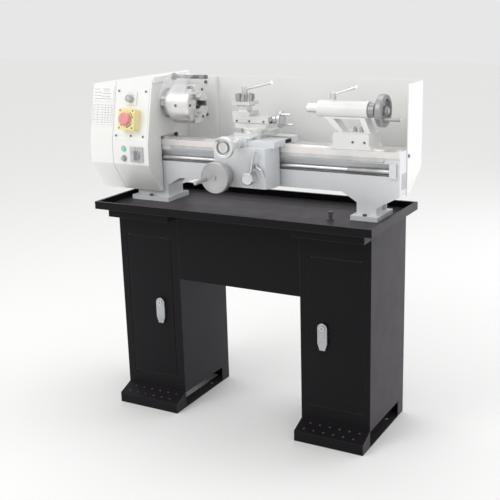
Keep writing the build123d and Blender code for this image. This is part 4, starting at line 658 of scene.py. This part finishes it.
def bezels():
    """Rings round the power lamp and the fuse holder."""
    for name, fitting, material in (("lamp_bezel", "power_lamp", satin_nickel),
                                    ("fuse_bezel", "fuse_holder", knob_plastic)):
        at = middle(fitting)
        at.y = low("switch_plate").y + 6 * MM
        turned_piece(name, facing(at, OPERATOR), [(8.4, -0.3), (10.4, -0.3), (10.4, 1.2),
                                                  (9.6, 2.0), (8.6, 2.0), (8.4, -0.3)],
                     "stand", material)


def headstock_ledge():
    """Folded ledge along the top of the headstock's right side."""
    corner = high("headstock_cover")
    at = Vector((corner.x, 4 * MM, corner.z - 13 * MM))
    plate("headstock_ledge", facing(at, X), rounded(86, 18, 2), (-0.5, 6.0), "stand",
          white_coat, 0.8 * MM)


JAWS = (0, 120, 240)  # degrees round the spindle
JAW_CLEAR = 11.0  # half a jaw's slot, with room beside it
BODY_SCREWS_R = 49


def chuck_face():
    """Two turned rings broken at the jaws' slots, and the three body screws."""
    face = facing(Vector((high("chuck").x, SPINDLE.y, SPINDLE.z)), X)
    rings, heads = bmesh.new(), bmesh.new()
    for radius in (59.5, 40.0):
        clear = degrees(asin(JAW_CLEAR / radius))
        for jaw in JAWS:
            slab(rings, face, arc(radius, jaw + clear, jaw + 120 - clear, 1.1, 16), -0.3, 0.35)
    for jaw in JAWS:
        between = radians(jaw + 60)
        off_centre = mm(BODY_SCREWS_R * cos(between), BODY_SCREWS_R * sin(between), -0.2)
        screw_head(heads, face @ Matrix.Translation(off_centre), 4.6, 1.8)
    piece("chuck_face_rings", rings, "spindle", chuck_steel)
    piece("chuck_body_screws", heads, "spindle", black_oxide)


# ---- carriage ----------------------------------------------------------------
def cross_wheel():
    """Grey hub, bright rim and the nut that holds the wheel."""
    crank_reach = 24 * MM
    at = pivot("cross_wheel_turn")
    at.y = low("cross_handwheel").y + crank_reach
    front = facing(at, OPERATOR)
    turned_piece("cross_wheel_hub", front,
                 [(17, -1), (17, 0.4), (15.5, 1.2), (9, 1.2), (8.4, 0.6)],
                 "cross_handwheel", tail_wheel_iron)
    turned_piece("cross_wheel_nut", front,
                 [(7.4, -0.5), (7.4, 3.0), (6.2, 4.2), (3.0, 4.2), (2.8, 2.4), (0, 2.4)],
                 "cross_handwheel", satin_nickel)
    turned_piece("cross_wheel_rim", front,
                 [(22, -0.5), (22.6, 1.2), (24.5, 2.2), (29, 2.2), (30.8, 1.2), (31.4, -0.5)],
                 "cross_handwheel", cross_wheel_metal)


def apron_wheel():
    """Raised rim, dark washer and bright centre screw."""
    crank_reach = 58.3 * MM
    at = pivot("apron_wheel_turn")
    at.y = low("apron_handwheel").y + crank_reach
    front = facing(at, OPERATOR)
    turned_piece("apron_wheel_rim", front,
                 [(41.5, -0.8), (42, 1.0), (43.5, 1.8), (45, 1.8), (46.3, 1.0), (46.6, -0.8)],
                 "apron_handwheel", apron_wheel_iron)
    turned_piece("apron_wheel_washer", front, [(8.5, -0.8), (8.5, 0.6), (8.0, 1.0), (0, 1.0)],
                 "apron_handwheel", worn_oxide)
    screws("apron_wheel_screw", [facing(at + OPERATOR * MM, OPERATOR)], 4.6, "apron_handwheel",
           satin_nickel, 3.0)


def half_nut_ring():
    """Bright ring on the hub of the half nut lever."""
    at = pivot("half_nut_turn")
    at.y = low("half_nut_lever").y
    turned_piece("half_nut_ring", facing(at, OPERATOR),
                 [(16.8, -0.6), (16.8, 0.2), (16, 0.6), (12.2, 0.6), (11.6, -0.2)],
                 "half_nut_lever", satin_nickel)


def compound_gib():
    """Gib screws in the compound slide's front, and the dark edge of the gib under them."""
    corner = low("compound_slide")
    places = [facing(corner + mm(x, 0, 9), OPERATOR) for x in (16, 59, 108)]
    screws("compound_gib_screws", places, 3.4, "compound_slide", black_oxide, 1.4)
    plate("compound_gib_edge", facing(corner + mm(58, 0, 3), OPERATOR), rounded(112, 1.4, 0.4),
          (-0.3, 0.2), "compound_slide", black_oxide)


def tool_post_ring():
    """Bright washer under the tool post's lever."""
    at = middle("tool_post")
    at.z = high("tool_post").z
    turned_piece("tool_post_ring", Matrix.Translation(at),
                 [(13, -0.2), (13, 0.25), (10, 0.25), (10, -0.2)], "tool_post",
                 ground_steel)


def way_wipers():
    """Wipers that sweep the front way, at both ends of the saddle."""
    bm = bmesh.new()
    for end, out in ((low("saddle").x, -X), (high("saddle").x, X)):
        at = Vector((end, low("bed").y + 48 * MM, low("saddle").z + 10 * MM))
        slab(bm, facing(at, out), rounded(34, 11, 2), -0.4, 2.2)
    piece("way_wipers", bm, "carriage", neoprene, 0.4 * MM)


def oil_cups():
    """Two ball oilers in the saddle's rear wings."""
    bm = bmesh.new()
    for x in (low("saddle").x + 22 * MM, high("saddle").x - 22 * MM):
        at = Vector((x, high("saddle").y - 20 * MM, low("saddle").z + 18 * MM))
        revolve(bm, Matrix.Translation(at), [(4.2, -0.6), (4.2, 1.2), (3.2, 1.8), (1.6, 1.8),
                                             (1.4, 1.2), (0, 1.2)], sides=24)
    piece("oil_cups", bm, "carriage", satin_nickel)


# ---- tailstock and bed ---------------------------------------------------------
def tailstock_fastenings():
    """Clamp studs with washers and nuts in the window, and two screws in the base's front."""
    corner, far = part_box("tailstock")
    bm = bmesh.new()
    for back in (49, 69):
        stud = Matrix.Translation(Vector((far.x - back * MM, SPINDLE.y, corner.z + 46.5 * MM)))
        revolve(bm, stud, [(7.5, 0), (7.5, 1.5), (0, 1.5)])
        revolve(bm, stud, [(6.5, 1.5), (6.5, 7.0), (5.6, 8.0), (0, 8.0)], sides=6)
        revolve(bm, stud, [(3.5, 8.0), (3.5, 13.0), (2.6, 14.0), (0, 14.0)])
    piece("tailstock_studs", bm, "tailstock", worn_oxide)
    places = [Vector((far.x - back * MM, corner.y, corner.z + 22 * MM)) for back in (58, 22)]
    screws("tailstock_base_screws", [facing(at, OPERATOR) for at in places], 3.6, "tailstock",
           black_oxide, 1.4)


def tailstock_wheel_boss():
    """Boss and nut in the wheel's dished face."""
    crank_reach = 52 * MM
    at = pivot("tailstock_wheel_turn")
    at.x = high("tailstock_handwheel").x - crank_reach
    turned_piece("tailstock_wheel_boss", facing(at, X),
                 [(14, -6), (13, 1.5), (11.5, 2.5), (8, 2.5), (8, 6.0), (7, 7.0), (0, 7.0)],
                 "tailstock_handwheel", satin_nickel)


def screw_sleeve():
    """Stepped sleeve that covers the lead screw's right end."""
    at = pivot("lead_screw_spin")
    at.x = low("screw_bracket").x
    turned_piece("screw_sleeve", facing(at, -X),
                 [(9.2, -0.5), (11.0, -0.5), (11.0, 44), (10.4, 45), (10.4, 88), (9.8, 89),
                  (9.8, 128), (9.2, 129), (9.2, -0.5)], "stand", worn_oxide)


def bed_end_pocket():
    """Cast pocket in the bed's right end: a plate whose darker enamel is painted shade."""
    at = Vector((high("bed").x, middle("bed").y, high("bed").z - 94 * MM))
    # darker enamel: painted shade in the pocket
    plate("bed_end_pocket", facing(at, X), rounded(52, 46, 5), (-0.5, 0.6), "stand",
          pocket_shade_enamel, 0.3 * MM)


def splash_guard_hem():
    """Hemmed edge round the splash guard's wing."""
    corner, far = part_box("splash_guard")
    x, front = far.x - 1.0 * MM, corner.y + 1.2 * MM
    bottom, top = corner.z + 1.5 * MM, far.z - 1.5 * MM
    bm = bmesh.new()
    wire(bm, [Vector((x, front, bottom)), Vector((x, front, top)),
              Vector((x, far.y - 2.0 * MM, top))], 1.9)
    piece("splash_guard_hem", bm, "stand", white_coat)


# ---- stand --------------------------------------------------------------------
TREAD_RISE, TREAD_RUN = 21, 55  # slope of a foot rest's tread


def foot_rest_bosses():
    """Two rows of anti-slip bosses pressed into each foot rest, set off from each other."""
    out = Vector((0, -TREAD_RISE, TREAD_RUN)).normalized()
    up_tread = Vector((0, TREAD_RUN, TREAD_RISE)).normalized()
    tread_y, tread_z = low("foot_rests").y + 27.5 * MM, high("foot_rests").z - 10.5 * MM
    bm = bmesh.new()
    for cabinet in ("left_cabinet", "right_cabinet"):
        for column in range(6):
            x = low(cabinet).x + 32 * (1 + column) * MM
            for row in (-13, 13):
                at = Vector((x + row * 0.4 * MM, tread_y, tread_z)) + up_tread * row * MM
                revolve(bm, facing(at, out, Y), [(3.4, -0.2), (2.9, 0.7), (1.7, 1.1), (0, 1.2)],
                        sides=20)
    # the bosses' greyer coat is partly wear, partly a painted highlight
    piece("foot_rest_bosses", bm, "stand", worn_and_highlit_boss_coat)


def latch_details(side):
    """A latch's finger ribs and raised grip, and its key barrel's rim and painted slot shade."""
    body = side + "_latch"
    paddle_behind_barrel = 2 * MM
    at = middle(body)
    at.y, at.z = low(body).y + paddle_behind_barrel, high(body).z
    paddle = facing(at, OPERATOR)
    bm = bmesh.new()
    for rib in range(5):
        slab(bm, paddle, rounded(15, 1.6, 0.7, (0, -60 - 4.2 * rib)), -0.3, 0.7)
    slab(bm, paddle, rounded(17, 30, 4, (0, -40)), -0.3, 0.5)
    piece(side + "_latch_ribs", bm, body, chrome, 0.3 * MM)
    barrel = paddle @ Matrix.Translation(mm(0, -16, 0))
    turned_piece(side + "_key_barrel", barrel, [(5.2, 1.6), (5.4, 2.4), (7.2, 2.4), (7.6, 1.6)],
                 body, satin_nickel)
    # the key slot: a thin dark plate of painted shade where the slot is recessed
    plate(side + "_key_slot_shade", barrel, rounded(1.2, 6.5, 0.5), (1.6, 2.12), body,
          dark_ink_and_slot_shade)


data_plate()
panel_seam()
panel_screws()
speed_scale()
emergency_stop()
rotary_switch()
headstock_ledge()
chuck_face()
cross_wheel()
apron_wheel()
half_nut_ring()
compound_gib()
tailstock_fastenings()
tailstock_wheel_boss()
screw_sleeve()
bed_end_pocket()
foot_rest_bosses()
latch_details("left")
latch_details("right")
tool_post_ring()
way_wipers()
oil_cups()
bezels()
splash_guard_hem()

# ---- camera, light and floor ----------------------------------------------------
AIM = Vector((-0.014, 0.0, 0.533))
AZIMUTH, ELEVATION, ROLL = radians(29.48), radians(15.61), radians(-1.656)
DISTANCE = 2.886
LENS, SENSOR = 66.17, 36.0  # a camera's millimetres


def place_camera():
    """Camera round the lathe at AZIMUTH, ELEVATION and DISTANCE, rolled a little."""
    back = Vector((sin(AZIMUTH) * cos(ELEVATION), -cos(AZIMUTH) * cos(ELEVATION), sin(ELEVATION)))
    level = Vector((cos(AZIMUTH), sin(AZIMUTH), 0))
    right = level * cos(ROLL) + back.cross(level) * sin(ROLL)
    camera = bpy.data.objects.new("camera", bpy.data.cameras.new("camera"))
    bpy.context.scene.collection.objects.link(camera)
    camera.data.lens = LENS
    camera.data.sensor_width = SENSOR
    turn = Matrix((right, back.cross(right), back)).transposed().to_4x4()
    camera.matrix_world = Matrix.Translation(AIM + back * DISTANCE) @ turn
    bpy.context.scene.camera = camera


def light_studio():
    """Even white surroundings, a shade dimmer where they are seen so that they meet the floor."""
    world = bpy.data.worlds.new("studio")
    bpy.context.scene.world = world
    world.use_nodes = True
    surroundings = world.node_tree.nodes["Background"]
    surroundings.inputs["Color"].default_value = (1, 1, 1, 1)
    seen = node(world.node_tree, "ShaderNodeLightPath").outputs["Is Camera Ray"]
    strength = node(world.node_tree, "ShaderNodeMapRange", {
        "Value": seen, "To Min": 0.82, "To Max": 0.80}).outputs["Result"]
    world.node_tree.links.new(strength, surroundings.inputs["Strength"])
    bpy.context.scene.view_settings.view_transform = "Standard"


def softbox(name, at, size, power, tint=(1, 1, 1)):
    """Soft rectangular light that points at the lathe."""
    lamp = bpy.data.objects.new(name, bpy.data.lights.new(name, "AREA"))
    lamp.data.shape = "RECTANGLE"
    lamp.data.size, lamp.data.size_y = size
    lamp.data.energy = power
    lamp.data.color = tint
    lamp.location = at
    lamp.rotation_euler = (AIM - Vector(at)).to_track_quat("-Z", "Y").to_euler()
    bpy.context.scene.collection.objects.link(lamp)


def lay_floor(reach=14.0):
    """Pale matte floor with faint scuffs."""
    mesh = bpy.data.meshes.new("floor")
    corners = [(-reach, -reach, 0), (reach, -reach, 0), (reach, reach, 0), (-reach, reach, 0)]
    mesh.from_pydata(corners, [], [(0, 1, 2, 3)])
    floor = bpy.data.objects.new("floor", mesh)
    bpy.context.scene.collection.objects.link(floor)
    paint, tree, surface, place = new_surface(
        "pale_studio_floor", {"Base Color": colour("#FAFAF9"), "Specular IOR Level": 0.2})
    scuffs = node(tree, "ShaderNodeMapRange", {
        "Value": patches(tree, place, 0.4), **NOISE_SPAN, "To Min": 0.75, "To Max": 0.85})
    tree.links.new(scuffs.outputs["Result"], surface.inputs["Roughness"])
    mesh.materials.append(paint)


place_camera()
light_studio()
softbox("key_light", (-1.3, -2.6, 2.9), (1.8, 1.8), 30)
softbox("side_light", (2.1, 2.8, 1.0), (1.7, 1.8), 20, (0.96, 0.93, 1.0))
softbox("top_light", (0.2, 0.6, 3.0), (2.2, 1.4), 14)
lay_floor()
